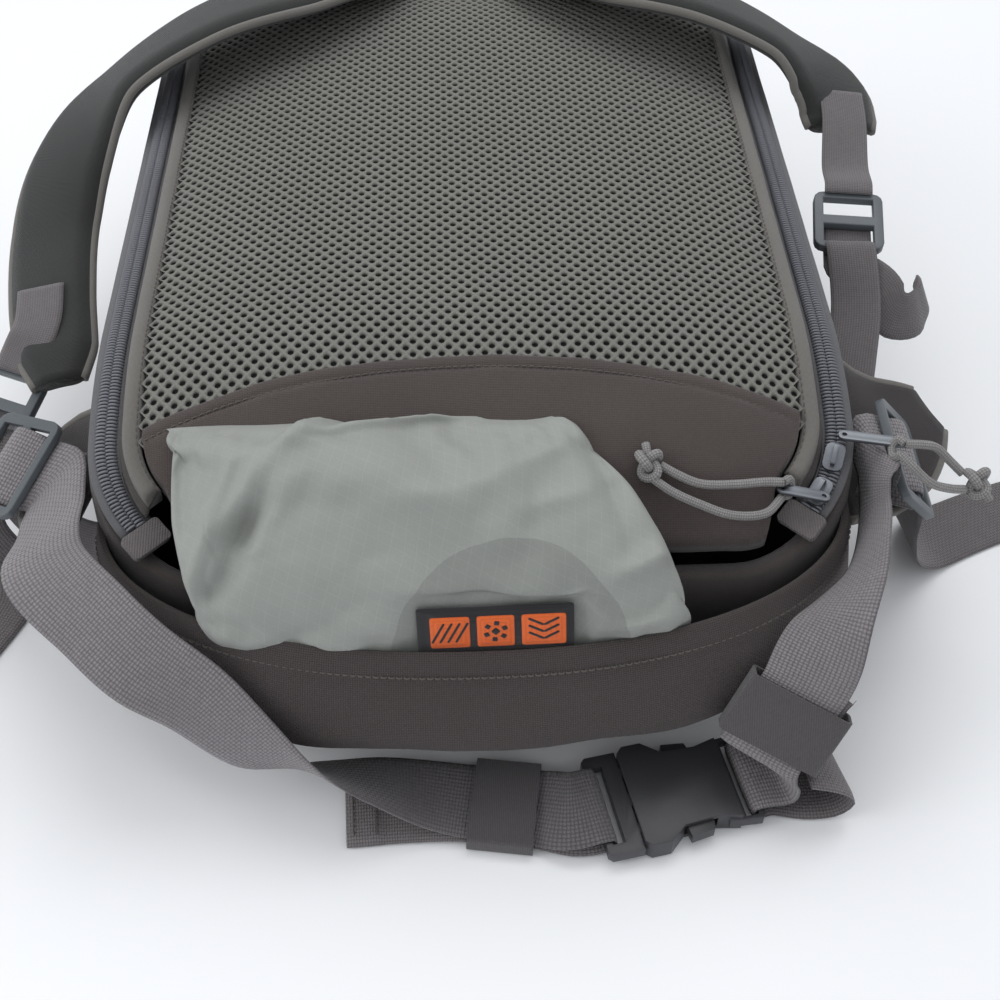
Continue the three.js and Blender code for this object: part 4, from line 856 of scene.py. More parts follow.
outer_rises = [0, 0.03, 0.07, 0.12, 0.18, 0.25, 0.32, 0.4, 0.48, 0.56, 0.64, 0.71, 0.78, 0.83, 0.865, 0.885,
               0.9, 0.93, 0.96, 0.985, 1]
inner_rises = [0.985, 0.94, 0.9, 0.8, 0.65, 0.5, 0.35, 0.2, 0.08, 0.03]
hem_thick = {0.885: 0.0, 0.9: 0.7, 0.93: 1.0, 0.96: 1.0, 0.985: 0.8, 1: 0.2}
pocket_rings = []
for i in range(121):
    turn = math.pi * i / 120
    out = Vector((-math.cos(turn), -math.sin(turn), 0))
    ring = []
    for rise in outer_rises:
        place = pocket_place(turn, rise, 0)
        soft = math.sin(math.pi * i / 120) ** 0.5 * (1 - rise**6)
        dent = relief(place, 3.0 * MM, 13, 2.0) + relief(place, 1.0 * MM, 38, 4.0)
        pull = 1.2 * MM * math.sin(14 * turn + 9 * rise) * rise * (1 - rise) * 4
        place += out * ((dent + 0.5 * pull) * soft + hem_thick.get(rise, 0) * MM)
        ring.append(place)
    for rise in inner_rises:
        ring.append(pocket_place(turn, rise, pocket_wall))
    pocket_rings.append(ring)
piece("rain_cover_pocket", *skin(pocket_rings), pocket_cloth, "cordura", ["rain_pocket"])
hem_line = []
for i in range(3, 118):
    turn = math.pi * i / 120
    out = Vector((-math.cos(turn), -math.sin(turn), 0))
    place = pocket_place(turn, 0.905, 0) + out * 1.05 * MM
    hem_line.append((place, tuple(out)))
laid_along("pocket_hem_stitches", [hem_line], seam_stitch, 3.3 * MM, thread)

# Rain cover: thin coated ripstop nylon, folded into a flat bundle that stands half out of its pocket. Its top
# edge leans back on the lumbar panel, and its folds run down to the label.


def ripstop_finish(name, colour):
    """Thin nylon with a fine grid of thicker threads, coated darker round the label."""
    finish = cloth_finish(name, colour, 0.42 * MM, 0.05 * MM, 0.5, patch=0.1, fleck=0.06, gap=0.86, sheen=0.15)
    tree = finish.node_tree
    shader = tree.nodes["Principled BSDF"]
    spot = node(tree, "ShaderNodeUVMap", set_uv_map="Cloth").outputs["UV"]
    turned = node(tree, "ShaderNodeMapping", Vector=spot, Rotation=(0, 0, 0.5))
    parts = node(tree, "ShaderNodeSeparateXYZ", Vector=turned.outputs[0])
    bars = []
    for axis in ("X", "Y"):
        share = maths(tree, "FRACT", maths(tree, "DIVIDE", parts.outputs[axis], 5.2 * MM))
        bars.append(maths(tree, "LESS_THAN", share, 0.06))
    grid = maths(tree, "MULTIPLY", maths(tree, "MAXIMUM", bars[0], bars[1]), -0.4)
    where = tree.nodes.new("ShaderNodeTexCoord").outputs["Object"]
    label_centre = (0.012, -0.247, 0.086)
    apart = node(tree, "ShaderNodeVectorMath", set_operation="DISTANCE", in0=where, in1=label_centre)
    wave = node(tree, "ShaderNodeTexNoise", Vector=where, Scale=22.0, Detail=2.0)
    rim = maths(tree, "MULTIPLY_ADD", wave.outputs[0], 0.01, 0.046)
    coated = maths(tree, "LESS_THAN", apart.outputs["Value"], rim)
    shade = maths(tree, "SUBTRACT", 1.0, maths(tree, "MULTIPLY", maths(tree, "ADD", grid, coated), 0.2))
    tinted(tree, shader, shader.inputs["Base Color"].links[0].from_socket, shade)
    return finish


ripstop = ripstop_finish("cover_ripstop", srgb(146, 149, 144))
cover_thick = 26 * MM
pocket_reach = side_seam + bulge_out
label_x = 0.04 * half_width
# From the bundle's top edge down: y, height, left and right end in shares of the pack, thickness as a share,
# and lean in degrees.
cover_stations = [
    (-0.572, 0.85, -0.76, 0.22, 0.16, 15), (-0.6, 0.85, -0.765, 0.26, 0.42, 20),
    (-0.66, 0.82, -0.765, 0.35, 0.75, 28), (-0.73, 0.76, -0.755, 0.43, 0.95, 38),
    (-0.79, 0.68, -0.73, 0.5, 1, 50), (-0.825, 0.6, -0.7, 0.53, 0.9, 66),
    (-0.83, 0.48, -0.62, 0.5, 0.85, 82), (-0.83, 0.3, -0.5, 0.42, 0.8, 90),
    (-0.83, 0.14, -0.4, 0.34, 0.3, 90),
]
# Folds: two ends on the bundle's face (x in metres, share from the top edge down), depth and width in mm.
cover_folds = [
    ((-0.056, 0.0), (-0.094, 0.34), 6.5, 9), ((-0.082, 0.24), (-0.113, 0.56), -6.5, 8),
    ((-0.104, 0.26), (-0.124, 0.55), 2.5, 8), ((-0.066, 0.17), (-0.016, 0.07), 6.0, 7),
    ((-0.056, 0.07), (-0.040, 0.10), -5.0, 7), ((-0.016, 0.07), (0.010, 0.01), 3.0, 8),
    ((-0.050, 0.24), (-0.034, 0.36), 2.2, 9), ((-0.034, 0.36), (0.006, 0.30), 2.0, 9),
    ((0.006, 0.30), (0.050, 0.16), 2.6, 9), ((0.030, 0.02), (0.050, 0.16), 2.4, 8),
    ((0.050, 0.16), (0.066, 0.46), -2.6, 9), ((0.062, 0.06), (0.074, 0.34), 3.0, 7),
    ((0.060, 0.50), (0.092, 0.44), 4.4, 7), ((-0.012, 0.13), (0.000, 0.24), -2.0, 10),
    ((-0.128, 0.08), (-0.124, 0.40), -2.4, 8), ((0.020, 0.36), (0.050, 0.32), 1.6, 6),
]


bundle_run = 0.2
cover_places = [Vector(s[:3]) for s in cover_stations]
cover_shapes = [Vector(s[3:]) for s in cover_stations]


def bundle_up(share):
    lean = math.radians(smooth_point(cover_shapes, share).z)
    return Vector((0, -math.sin(lean), math.cos(lean)))


def fold_lift(x, share):
    """How far the folds lift the face at x, a share of the way down."""
    lift = 0.0
    for (x0, s0), (x1, s1), tall, wide in cover_folds:
        a, b = Vector((x0, s0 * bundle_run)), Vector((x1, s1 * bundle_run))
        p, run = Vector((x, share * bundle_run)), b - a
        t = within((p - a).dot(run) / run.length_squared)
        gap = (p - a - run * t).length / (wide * MM)
        fade = 1 - 0.45 * abs(2 * t - 1)
        lift += 3.2 * tall * MM * fade * math.exp(-2.1 * math.hypot(gap, 0.22))
    return lift


cover_rings = []
steps, sides_round = 96, 196
for i in range(steps + 1):
    share = i / steps
    (y, z, left), (right, thick, _) = smooth_point(cover_places, share), smooth_point(cover_shapes, share)
    up = bundle_up(share)
    half = max(0.8 * MM, cover_thick * thick / 2)
    middle = Vector(((left + right) / 2 * half_width, y * pocket_reach, z * deep)) + up * half
    reach = (right - left) / 2 * half_width
    ring = []
    for k in range(sides_round):
        t = 2 * math.pi * k / sides_round
        s = math.sin(t)
        place = middle + Vector((reach * squarer(math.cos(t), 0.7), 0, 0)) + up * half * squarer(s, 0.8)
        if s > 0:
            hold = min(1.0, 3 * s) * min(1, 8 * share + 0.2)
            wrinkles = 1.6 * MM * (abs(noise.noise(place * 34)) - 0.25) + 0.7 * MM * noise.noise(place * 90)
            place += up * hold * wrinkles
            if abs(place.x - label_x) < 40 * MM and 70 * MM < place.z < 116 * MM:
                behind = 26 * MM + 0.3 * (place.z - 85 * MM)
                place.y = max(place.y, behind - pocket_reach)
        ring.append(place)
    cover_rings.append(ring)
cover = piece("rain_cover_bundle", *skin(cover_rings), ripstop, "cover_cloth", ["rain_cover"])


def buckled(made, held, grow, pressure, stiff, cap, frames=20, smooth=2):
    """The cloth spreads by a share and buckles under a light pressure. No point moves over cap."""
    mesh = made.data
    group = made.vertex_groups.new(name="held")
    for point in mesh.vertices:
        group.add([point.index], within(held(point.co)), "REPLACE")
    before = [point.co.copy() for point in mesh.vertices]
    cloth = made.modifiers.new("cloth", "CLOTH")
    cloth.point_cache.frame_end = frames
    settings = cloth.settings
    settings.quality = 6
    settings.mass = 0.2
    settings.tension_stiffness = settings.compression_stiffness = 20
    settings.shear_stiffness = 8
    settings.bending_stiffness = stiff
    settings.use_pressure = True
    settings.uniform_pressure_force = pressure
    settings.shrink_min = -grow
    settings.effector_weights.gravity = 0
    settings.vertex_group_mass = "held"
    for frame_now in range(1, frames + 1):
        bpy.context.scene.frame_set(frame_now)
    found = made.evaluated_get(bpy.context.evaluated_depsgraph_get()).data
    after = [point.co.copy() for point in found.vertices]
    made.modifiers.remove(cloth)
    made.vertex_groups.remove(group)
    bpy.context.scene.frame_set(1)
    near = [[] for _ in after]
    for edge in mesh.edges:
        a, b = edge.vertices
        near[a].append(b)
        near[b].append(a)
    for _ in range(smooth):
        means = [sum((after[k] for k in beside), Vector()) / len(beside) for beside in near]
        after = [p * 0.5 + mean * 0.5 for p, mean in zip(after, means)]
    for point, old, new in zip(mesh.vertices, before, after):
        move = new - old
        point.co = old + move * min(1.0, cap / max(move.length, 1e-9))
    mesh.update()


def cover_held(place):
    low = within((92 * MM - place.z) / (10 * MM))
    top = 0.7 * within((place.y + 172 * MM) / (10 * MM))
    by_label = abs(place.x - label_x) < 38 * MM and place.z < 110 * MM and place.y < -228 * MM
    return 1.0 if by_label else max(low, top)


buckled(cover, cover_held, grow=0.06, pressure=0.8, stiff=1.5, cap=4.5 * MM, smooth=3)
lifts = np.zeros((steps + 1, sides_round))
for ring in range(steps + 1):
    for k in range(1, sides_round // 2):
        place = cover.data.vertices[ring * sides_round + k].co
        hold = min(1.0, 3 * math.sin(2 * math.pi * k / sides_round)) * min(1, 8 * ring / steps + 0.3)
        if cover_held(place) < 1.0 or place.x < -32 * MM:
            lifts[ring, k] = hold * fold_lift(place.x, ring / steps)
for _ in range(2):
    inner = lifts[1:-1, 1:-1]
    beside = lifts[:-2, 1:-1] + lifts[2:, 1:-1] + lifts[1:-1, :-2] + lifts[1:-1, 2:]
    lifts[1:-1, 1:-1] = inner * 0.5 + beside * 0.125
for ring in range(steps + 1):
    up = bundle_up(ring / steps)
    for k in range(sides_round):
        cover.data.vertices[ring * sides_round + k].co += up * float(lifts[ring, k])
cover.data.update()

# Label: a woven tab sewn to the cover, black with overlocked edges and three orange woven patches.
label_black = cloth_finish("label_weave", srgb(34, 34, 38), 0.5 * MM, 0.15 * MM, 0.8)
label_orange = cloth_finish("label_patch", srgb(236, 104, 38), 0.5 * MM, 0.2 * MM, 0.75, gap=0.7)


def fitting_frame(centre, along, across):
    x = Vector(across).normalized()
    z = x.cross(Vector(along)).normalized()
    y = z.cross(x)
    turn = Matrix((x, y, z)).transposed().to_4x4()
    turn.translation = Vector(centre)
    return turn


label_up = Vector((0, 0.3, 1)).normalized()
label_wide, label_high = 67, 25
label_frame = fitting_frame(
    Vector((label_x, -pocket_reach + 23.6 * MM, lip_height - 4.5 * MM)) + label_up * label_high * MM / 2,
    label_up, (1, 0, 0.02),
)


def label_bar(x, y, wide, high, turn, low, tall, round_off, square=0.3):
    """A raised woven bar on the label's outer face. All its sizes are in millimetres."""
    rings = []
    for inset, lift in ((0, low), (0, low + tall * 0.6), (round_off, low + tall)):
        ring = []
        for k in range(16):
            t = 2 * math.pi * (k + 0.5) / 16
            px = squarer(math.cos(t), square) * (wide / 2 - inset)
            py = squarer(math.sin(t), square) * (high / 2 - inset)
            qx, qy = px * math.cos(turn) - py * math.sin(turn), px * math.sin(turn) + py * math.cos(turn)
            ring.append(label_frame @ Vector(((x + qx) * MM, (y + qy) * MM, lift * MM)))
        rings.append(ring)
    return rings


def several(name, parts, finish, slot, stands_for=()):
    points, faces, uvs = [], [], []
    for rings in parts:
        more_points, more_faces, more_uvs = skin(rings)
        first = len(points)
        points += more_points
        faces += [tuple(first + k for k in face) for face in more_faces]
        uvs += more_uvs
    return piece(name, points, faces, uvs, finish, slot, stands_for)


cloth_bar = label_bar(0, 0, label_wide, label_high, 0, -0.6, 1.2, 0.3, 0.06)
several("label_cloth", [cloth_bar], label_black, "label_weave", ["cover_label"])
patch_places = ((-19.5, 17), (0, 16), (20.5, 19))
patches = [label_bar(x, 0, wide, 16, 0, 0.5, 0.4, 0.3, 0.12) for x, wide in patch_places]
several("label_patches", patches, label_orange, "label_weave")
motifs = [(-19.5 + 3.4 * k, 0, 1.1, 11.5, -0.5) for k in (-1.5, -0.5, 0.5, 1.5)]
motifs += [(4.2 * math.cos(t), 4.2 * math.sin(t), 2.2, 2.2, t) for t in (0.4, 1.45, 2.5, 3.54, 4.6, 5.63)]
motifs += [(0, 0, 3.0, 3.0, 0.78)]
motifs += [(20.5 + side * 3.3, 4.2 - 3.6 * k, 7.4, 1.2, side * 0.5) for k in range(3) for side in (-1, 1)]
several("label_motifs", [label_bar(*motif, 0.8, 0.3, 0.2) for motif in motifs], label_black, "label_weave")

# Waist belt: two lengths of webbing of 38 mm, each threaded through a slider at the pack's side, with its
# tail hanging free. They meet at the fastened buckle, and their ends turn back round its bars.


def at(x, y, z):
    return Vector((x * half_width, y * pocket_reach, z * deep))


def stops(*rows):
    """Stations from rows: place in shares of the pack, way across, and shares of width and thickness."""
    return [(at(*r[:3]), Vector(r[3:6]), *(r[6:] + (1.0, 1.0)[len(r) - 6:])) for r in rows]


def frame_stops(turn, *places):
    """Stations at places (y, z) or (y, z, x) in millimetres of a fitting's frame, across it."""
    across = turn.to_3x3() @ Vector((1, 0, 0))
    return [(turn @ (Vector((p[2] if len(p) > 2 else 0, p[0], p[1])) * MM), across, 1.0, 1.0) for p in places]


def ribbon(stations, width, thick, step=3.5 * MM, rounding=0.35, columns=10, bow=0.0, folded=0.0):
    """Rings of a flat strip through its stations. A folded end is three plies thick over its last stretch."""
    places = [s[0] for s in stations]
    acrosses = [s[1].normalized() for s in stations]
    shares = [Vector((s[2], s[3], 0)) for s in stations]
    dense = smooth_line(places, 40 * len(places))
    run = [0.0]
    for a, b in zip(dense, dense[1:]):
        run.append(run[-1] + (b - a).length)
    count = max(8, round(run[-1] / step)) + 1
    marks = np.linspace(0, 1, len(run))
    picks = [float(np.interp(run[-1] * i / (count - 1), run, marks)) for i in range(count)]
    centres = [smooth_point(places, t) for t in picks]

    def between(values, t):
        spot = t * (len(values) - 1)
        k = min(int(spot), len(values) - 2)
        return values[k].lerp(values[k + 1], spot - k)

    sides = [between(acrosses, t).normalized() for t in picks]
    sizes = [between(shares, t) for t in picks]
    for c, size in zip(centres, sizes):
        c.z = max(c.z, thick * size.y / 2 + 0.3 * MM)
    ways = [(centres[min(i + 1, count - 1)] - centres[max(i - 1, 0)]).normalized() for i in range(count)]
    for i, way in enumerate(ways):
        sides[i] = (sides[i] - way * sides[i].dot(way)).normalized()
    for _ in range(4):
        before, after = sides[:1] + sides[:-1], sides[1:] + sides[-1:]
        sides = [(a + b * 2 + c).normalized() for a, b, c in zip(before, sides, after)]
    # Where an edge would fold back on itself in a tight turn, the strip's way across is evened out.
    for _ in range(80):
        moved = False
        for i in range(count - 1):
            chord = centres[i + 1] - centres[i]
            for sign in (1, -1):
                edge = chord + (sides[i + 1] * sizes[i + 1].x - sides[i] * sizes[i].x) * width / 2 * sign
                if edge.dot(chord) < 0.3 * chord.length_squared:
                    middle = sides[i] + sides[i + 1]
                    sides[i] = (sides[i] * 0.5 + middle * 0.25).normalized()
                    sides[i + 1] = (sides[i + 1] * 0.5 + middle * 0.25).normalized()
                    moved = True
        if not moved:
            break
    rings = []
    for i in range(count):
        side = sides[i]
        normal = ways[i].cross(side).normalized()
        half, deep_half = width / 2 * sizes[i].x, thick / 2 * sizes[i].y
        left_over = run[-1] * (1 - i / (count - 1))
        if folded and left_over < folded:
            deep_half *= 1 + 1.7 * min(1.0, (folded - left_over) / (4 * MM))
        if folded and i == count - 1:
            deep_half *= 0.7
        ring = []
        for face in (1, -1):
            for k in range(columns + 1):
                u = (2 * k / columns - 1) * face
                edge = max(0.0, (abs(u) * half - (half - thick * 0.6)) / (thick * 0.6))
                h = deep_half * (1 - (1 - rounding) * edge**2) * face + bow * (1 - u * u)
                ring.append(centres[i] + side * (half * u) + normal * h)
        rings.append(ring)
    return rings


def strip_piece(name, rings, finish, stands_for=()):
    piece(name, *skin(rings), finish, "webbing", stands_for)


def webbing_finish(name, colour, back, width, pitch, depth=0.65 * MM):
    """Webbing of coarse ribs on its face. Its back is darker."""
    finish = cloth_finish(name, colour, pitch, depth, 0.85, stretch=0.75, gap=0.32, sheen=0.25, patch=0.1)
    tree = finish.node_tree
    shader = tree.nodes["Principled BSDF"]
    spot = node(tree, "ShaderNodeUVMap", set_uv_map="Cloth").outputs["UV"]
    u = node(tree, "ShaderNodeSeparateXYZ", Vector=spot).outputs["X"]
    behind = maths(tree, "GREATER_THAN", u, width + 0.3 * MM)
    tinted(tree, shader, shader.inputs["Base Color"].links[0].from_socket, (back, back, back, 1), behind)
    return finish


belt_width, shoulder_width, web_thick = 38 * MM, 25 * MM, 1.6 * MM
belt_web = webbing_finish("belt_webbing", srgb(137, 132, 135), 0.6, belt_width, 2.0 * MM)
tail_web = webbing_finish("tail_webbing", srgb(128, 122, 124), 0.8, belt_width, 1.7 * MM)
slider_frames = {
    "left": fitting_frame(at(-1.245, -0.515, 0.625), (-0.8, 0.45, -0.25), (0.42, 0.85, 0.32)),
    "right": fitting_frame(at(1.14, -0.586, 0.67), (0.5, 0.45, -0.66), (0.09, -0.95, -0.28)),
}
belt_way = (math.cos(math.radians(11)), math.sin(math.radians(11)), 0)
buckle_frame = fitting_frame(
    Vector((95.57, -272.54, 7)) * MM, belt_way, (belt_way[1], -belt_way[0], 0)
)
keeper_frame = fitting_frame(at(0.756, -0.985, 0.352), (-0.44, -0.37, -0.78), (0.85, -0.34, -0.34))
prong_end, socket_end = -46, 29


def through_slider(turn, s):
    places = [(27 * s, -5.1), (23 * s, -4.1), (16 * s, -3.5), (11 * s, -1.55), (4.5 * s, 2.325), (0, 3.8),
              (-4.5 * s, 2.325)]
    return frame_stops(turn, *places)


def over_bar(end, way):
    places = [(end - 12 * way, 4.6), (end, 4.6), (end + 3.6 * way, 4.4), (end + 5.2 * way, 0.8)]
    return frame_stops(buckle_frame, *places)


def under_bar(end, way):
    return frame_stops(buckle_frame, (end + 5.2 * way, -1.2), (end + 3.6 * way, -4.3), (end - 8 * way, -4.6))


belt_left = through_slider(slider_frames["left"], -1)[::-1] + stops(
    (-1.085, -0.65, 0.66, 0.62, 0.74, 0.27), (-1.07, -0.77, 0.69, 0.82, 0.54, 0.22),
    (-0.93, -0.865, 0.635, 0.7, 0.53, 0.49), (-0.82, -0.92, 0.565, 0.73, 0.53, 0.43),
    (-0.7, -0.95, 0.47, 0.75, 0.28, 0.6), (-0.54, -0.995, 0.3, 0.8, -0.14, 0.58),
    (-0.38, -1, 0.185, 0.2, -0.75, 0.63), (-0.25, -0.995, 0.11, -0.08, -0.92, 0.38),
    (-0.14, -0.998, 0.06, -0.12, -0.98, 0.12), (-0.04, -1.007, 0.042, -0.14, -0.99, 0),
    (0.15, -1.026, 0.044, -0.1, -0.99, 0),
) + over_bar(prong_end, 1)
belt_right = through_slider(slider_frames["right"], -1)[::-1] + stops(
    (1.025, -0.69, 0.665, 0.06, -0.47, 0.88), (0.975, -0.79, 0.65, 0.1, -0.55, 0.83),
    (0.865, -0.905, 0.61, 0.6, -0.5, 0.5),
) + frame_stops(keeper_frame, *[(15 * e, -2.0, -1.5) for e in (-1.3, -1, 1, 1.35)])
belt_right += stops((0.745, -0.99, 0.16, 0.6, -0.78, -0.1)) + over_bar(socket_end, -1)
end_left = under_bar(prong_end, 1) + stops(
    (0.15, -1.026, 0.0205, -0.05, -0.99, 0), (-0.04, -1.007, 0.0205, -0.14, -0.99, 0),
    (-0.2, -1.003, 0.013, -0.1, -0.99, 0), (-0.36, -1.008, 0.013, -0.25, -0.97, 0),
)
end_right = under_bar(socket_end, -1) + stops(
    (0.847, -0.985, 0.016, 0.2, -0.97, 0), (0.91, -0.985, 0.035, 0.2, -0.97, 0),
    (0.93, -0.985, 0.09, 0.25, -0.95, 0), (0.88, -0.99, 0.15, 0.35, -0.9, 0.05),
    (0.82, -0.99, 0.175, 0.4, -0.85, 0.05),
)
flat = 1.1 / 157
tail_left = frame_stops(slider_frames["left"], (12.5, -3.6), (23, -4.1), (27, -5.1)) + stops(
    (-1.43, -0.47, 0.43, 0.6, 0.75, 0.2), (-1.455, -0.48, 0.22, 0.85, 0.5, 0.1),
    (-1.42, -0.48, 0.06, 0.95, 0.3, 0), (-1.405, -0.53, flat, 0.99, -0.1, 0),
    (-1.46, -0.62, flat, 0.9, -0.43, 0), (-1.56, -0.74, flat, 0.88, -0.47, 0),
    (-1.66, -0.86, flat, 0.88, -0.47, 0),
)
tail_right = frame_stops(slider_frames["right"], (12.5, -3.6), (23, -4.1), (27, -5.1)) + stops(
    (1.24, -0.52, 0.32, 0.05, -0.97, -0.2), (1.285, -0.49, 0.13, 0.15, -0.96, -0.1),
    (1.36, -0.46, 0.03, 0.25, -0.96, 0), (1.5, -0.415, flat, 0.3, -0.95, 0),
    (1.66, -0.375, flat, 0.25, -0.97, 0), (1.9, -0.33, flat, 0.2, -0.98, 0),
)
for name, stations, finish, fold, stands_for in (
    ("belt_left", belt_left, belt_web, 0, "belt_webbing_left"),
    ("belt_right", belt_right, belt_web, 0, "belt_webbing_right"),
    ("belt_turned_left", end_left, tail_web, 18 * MM, "belt_end_left"),
    ("belt_turned_right", end_right, tail_web, 0, "belt_end_right"),
    ("belt_hanging_left", tail_left, tail_web, 16 * MM, "belt_tail_left"),
    ("belt_hanging_right", tail_right, tail_web, 16 * MM, "belt_tail_right"),
):
    rings = ribbon(stations, belt_width, web_thick, bow=0.25 * MM, folded=fold)
    strip_piece(name, rings, finish, [stands_for])
    if fold:
        rows = []
        for back in (-2, -5):
            ring = rings[back]
            up = (ring[5] - ring[16]).normalized()
            places = [ring[k].lerp(ring[k + 1], t) for k in range(1, 9) for t in (0, 0.5)]
            rows.append([(place + up * 0.2 * MM, tuple(up)) for place in places])
        laid_along(name + "_stitches", rows, seam_stitch, 3.0 * MM, thread)

# Belt fittings: moulded sliders, the fastened side-release buckle and the elastic keepers that hold the
# belt's turned ends.
hard_plastic = grain_finish("hard_plastic", srgb(84, 89, 93), 0.42, 700, 0.06 * MM)
buckle_plastic = grain_finish("buckle_plastic", srgb(58, 58, 61), 0.38, 700, 0.06 * MM)
elastic = cloth_finish("elastic", srgb(88, 84, 86), 1.0 * MM, 0.35 * MM, 0.9, stretch=0.5)
for side in ("left", "right"):
    softened("belt_slider_moulded_" + side, "belt_slider_" + side, hard_plastic, 0.7 * MM)
    softened("belt_keeper_elastic_" + side, "belt_keeper_" + side, elastic, 0.6 * MM)
softened("buckle_prong_moulded", "buckle_prong", buckle_plastic, 0.6 * MM)
softened("buckle_socket_moulded", "buckle_socket", buckle_plastic, 0.8 * MM)

# Frayed tip of the belt's right end: it shows at the upper mouth of its keeper, with loose threads.
tip_places = frame_stops(keeper_frame, *[(y, 2.0, 2.2) for y in (12, 0, -10, -19)]) + frame_stops(
    keeper_frame, (-24, 2.6, 3.2)
)
tip_rings = ribbon(tip_places, belt_width, web_thick)
strip_piece("belt_tip_right", tip_rings, tail_web)
fibres = []
for k in range(14):
    spot = tip_rings[-1][k % 11].lerp(tip_rings[-1][min(k % 11 + 1, 10)], 0.37 * (k % 3))
    way = (tip_rings[-1][5] - tip_rings[-3][5]).normalized()
    drift = Vector([noise.noise(Vector(seed)) for seed in ((k, 0, 3), (k, 5, 1), (k, 2, 9))]) * MM
    reach = (2.2 + 2.5 * abs(noise.noise(Vector((k * 0.7, 1, 1))))) * MM
    fibre = [spot - way * MM, spot + way * reach * 0.5 + drift, spot + way * reach + drift * 3]
    fibres.append(tube(fibre, 0.14 * MM, 5))
several("belt_tip_threads", fibres, tail_web, "webbing")

# Side wings: fins of cordura sewn to the case's sides, with bound edges. A short webbing ties each to its
# slider.
wing_cloth = cloth_finish("wing_cordura", srgb(62, 57, 58), 0.75 * MM, 0.3 * MM, 0.9)
wing_width, wing_thick = 84 * MM, 4 * MM
wings = {
    "left": stops(
        (-0.97, -0.535, 0.65, 0, -1, 0), (-1.08, -0.507, 0.6, 0, -1, 0, 0.92),
        (-1.14, -0.48, 0.57, 0, -1, 0, 0.6), (-1.17, -0.475, 0.555, 0, -1, 0, 0.3),
    ),
    "right": stops(
        (0.97, -0.515, 0.65, 0.08, -0.87, -0.38), (1.08, -0.5, 0.62, 0.05, -0.92, -0.35, 0.92),
        (1.165, -0.475, 0.605, 0.05, -0.95, -0.3, 0.75), (1.25, -0.44, 0.605, 0.05, -0.95, -0.3, 0.42),
        (1.275, -0.43, 0.605, 0.05, -0.95, -0.3, 0.3),
    ),
}
wing_ties = {
    "left": stops((-1.025, -0.57, 0.62, 0.3, 0.92, 0.25))
    + frame_stops(slider_frames["left"], (-28, -11.5), (-5, -7.6), (14, -6.6)),
    "right": stops((1.06, -0.56, 0.615, 0, -1, -0.1))
    + frame_stops(slider_frames["right"], (4, -8), (14, -6.4)),
}
for side in ("left", "right"):
    rings = ribbon(wings[side], wing_width, wing_thick, columns=16, rounding=0.5, bow=1.2 * MM)
    piece("wing_" + side, *skin(rings), wing_cloth, "cordura", ["side_wing_" + side])
    edges = [tube([r[k] for r in rings], 2.6 * MM, 8) for k in (0, 16)]
    several("wing_binding_" + side, edges, binding_tape, "binding_tape")
    tie = ribbon(wing_ties[side], belt_width, web_thick)
    strip_piece("wing_tie_" + side, tie, tail_web, ["wing_anchor_" + side])

# Shoulder straps: cordura over thick foam, bound along both edges. They lie off to the pack's sides, and each
# ends in webbing with a ladder lock.
strap_cloth = cloth_finish("strap_cloth", srgb(42, 43, 42), 0.8 * MM, 0.3 * MM, 0.9)
strap_width, strap_thick = 62 * MM, 12 * MM
shoulders = {
    "left": stops(
        (-0.3, 0.8, 0.957, 1, 0, 0, 1, 0.6), (-0.375, 0.68, 1.06, 0.96, -0.25, 0.1),
        (-0.557, 0.55, 1.12, 0.85, -0.5, 0.15), (-0.824, 0.44, 1.1, 0.7, -0.6, 0.38),
        (-1.08, 0.35, 0.97, 0.68, -0.45, 0.58), (-1.23, 0.243, 0.8, 0.88, -0.25, 0.4, 0.92),
        (-1.27, 0.103, 0.68, 0.98, -0.05, 0.2, 0.76), (-1.245, -0.074, 0.62, 0.98, -0.05, 0.15, 0.7),
        (-1.2, -0.213, 0.59, 0.95, 0.05, 0.1, 0.62), (-1.18, -0.28, 0.57, 0.95, 0.05, 0.1, 0.4, 0.7),
    ),
    "right": stops(
        (0.3, 0.8, 0.957, 1, 0, 0, 1, 0.6), (0.375, 0.68, 1.06, 0.96, 0.25, -0.1),
        (0.557, 0.57, 1.12, 0.85, 0.5, -0.15), (0.824, 0.48, 1.1, 0.7, 0.6, -0.38),
        (1.06, 0.41, 1, 0.7, 0.45, -0.55), (1.19, 0.33, 0.9, 0.9, 0.25, -0.35, 0.85),
        (1.2, 0.25, 0.85, 0.98, 0.1, -0.1, 0.6, 0.8),
    ),
}
for side in ("left", "right"):
    rings = ribbon(shoulders[side], strap_width, strap_thick, step=4 * MM, columns=16, rounding=0.25,
                   bow=1.5 * MM)
    stands_for = ["shoulder_strap_" + side]
    strap = piece("padded_strap_" + side, *skin(rings), strap_cloth, "strap_padding", stands_for)
    edges = [tube([(r[k] + r[33 - k]) / 2 for r in rings], 2.4 * MM, 8) for k in (0, 16)]
    several("strap_binding_" + side, edges, binding_tape, "binding_tape")

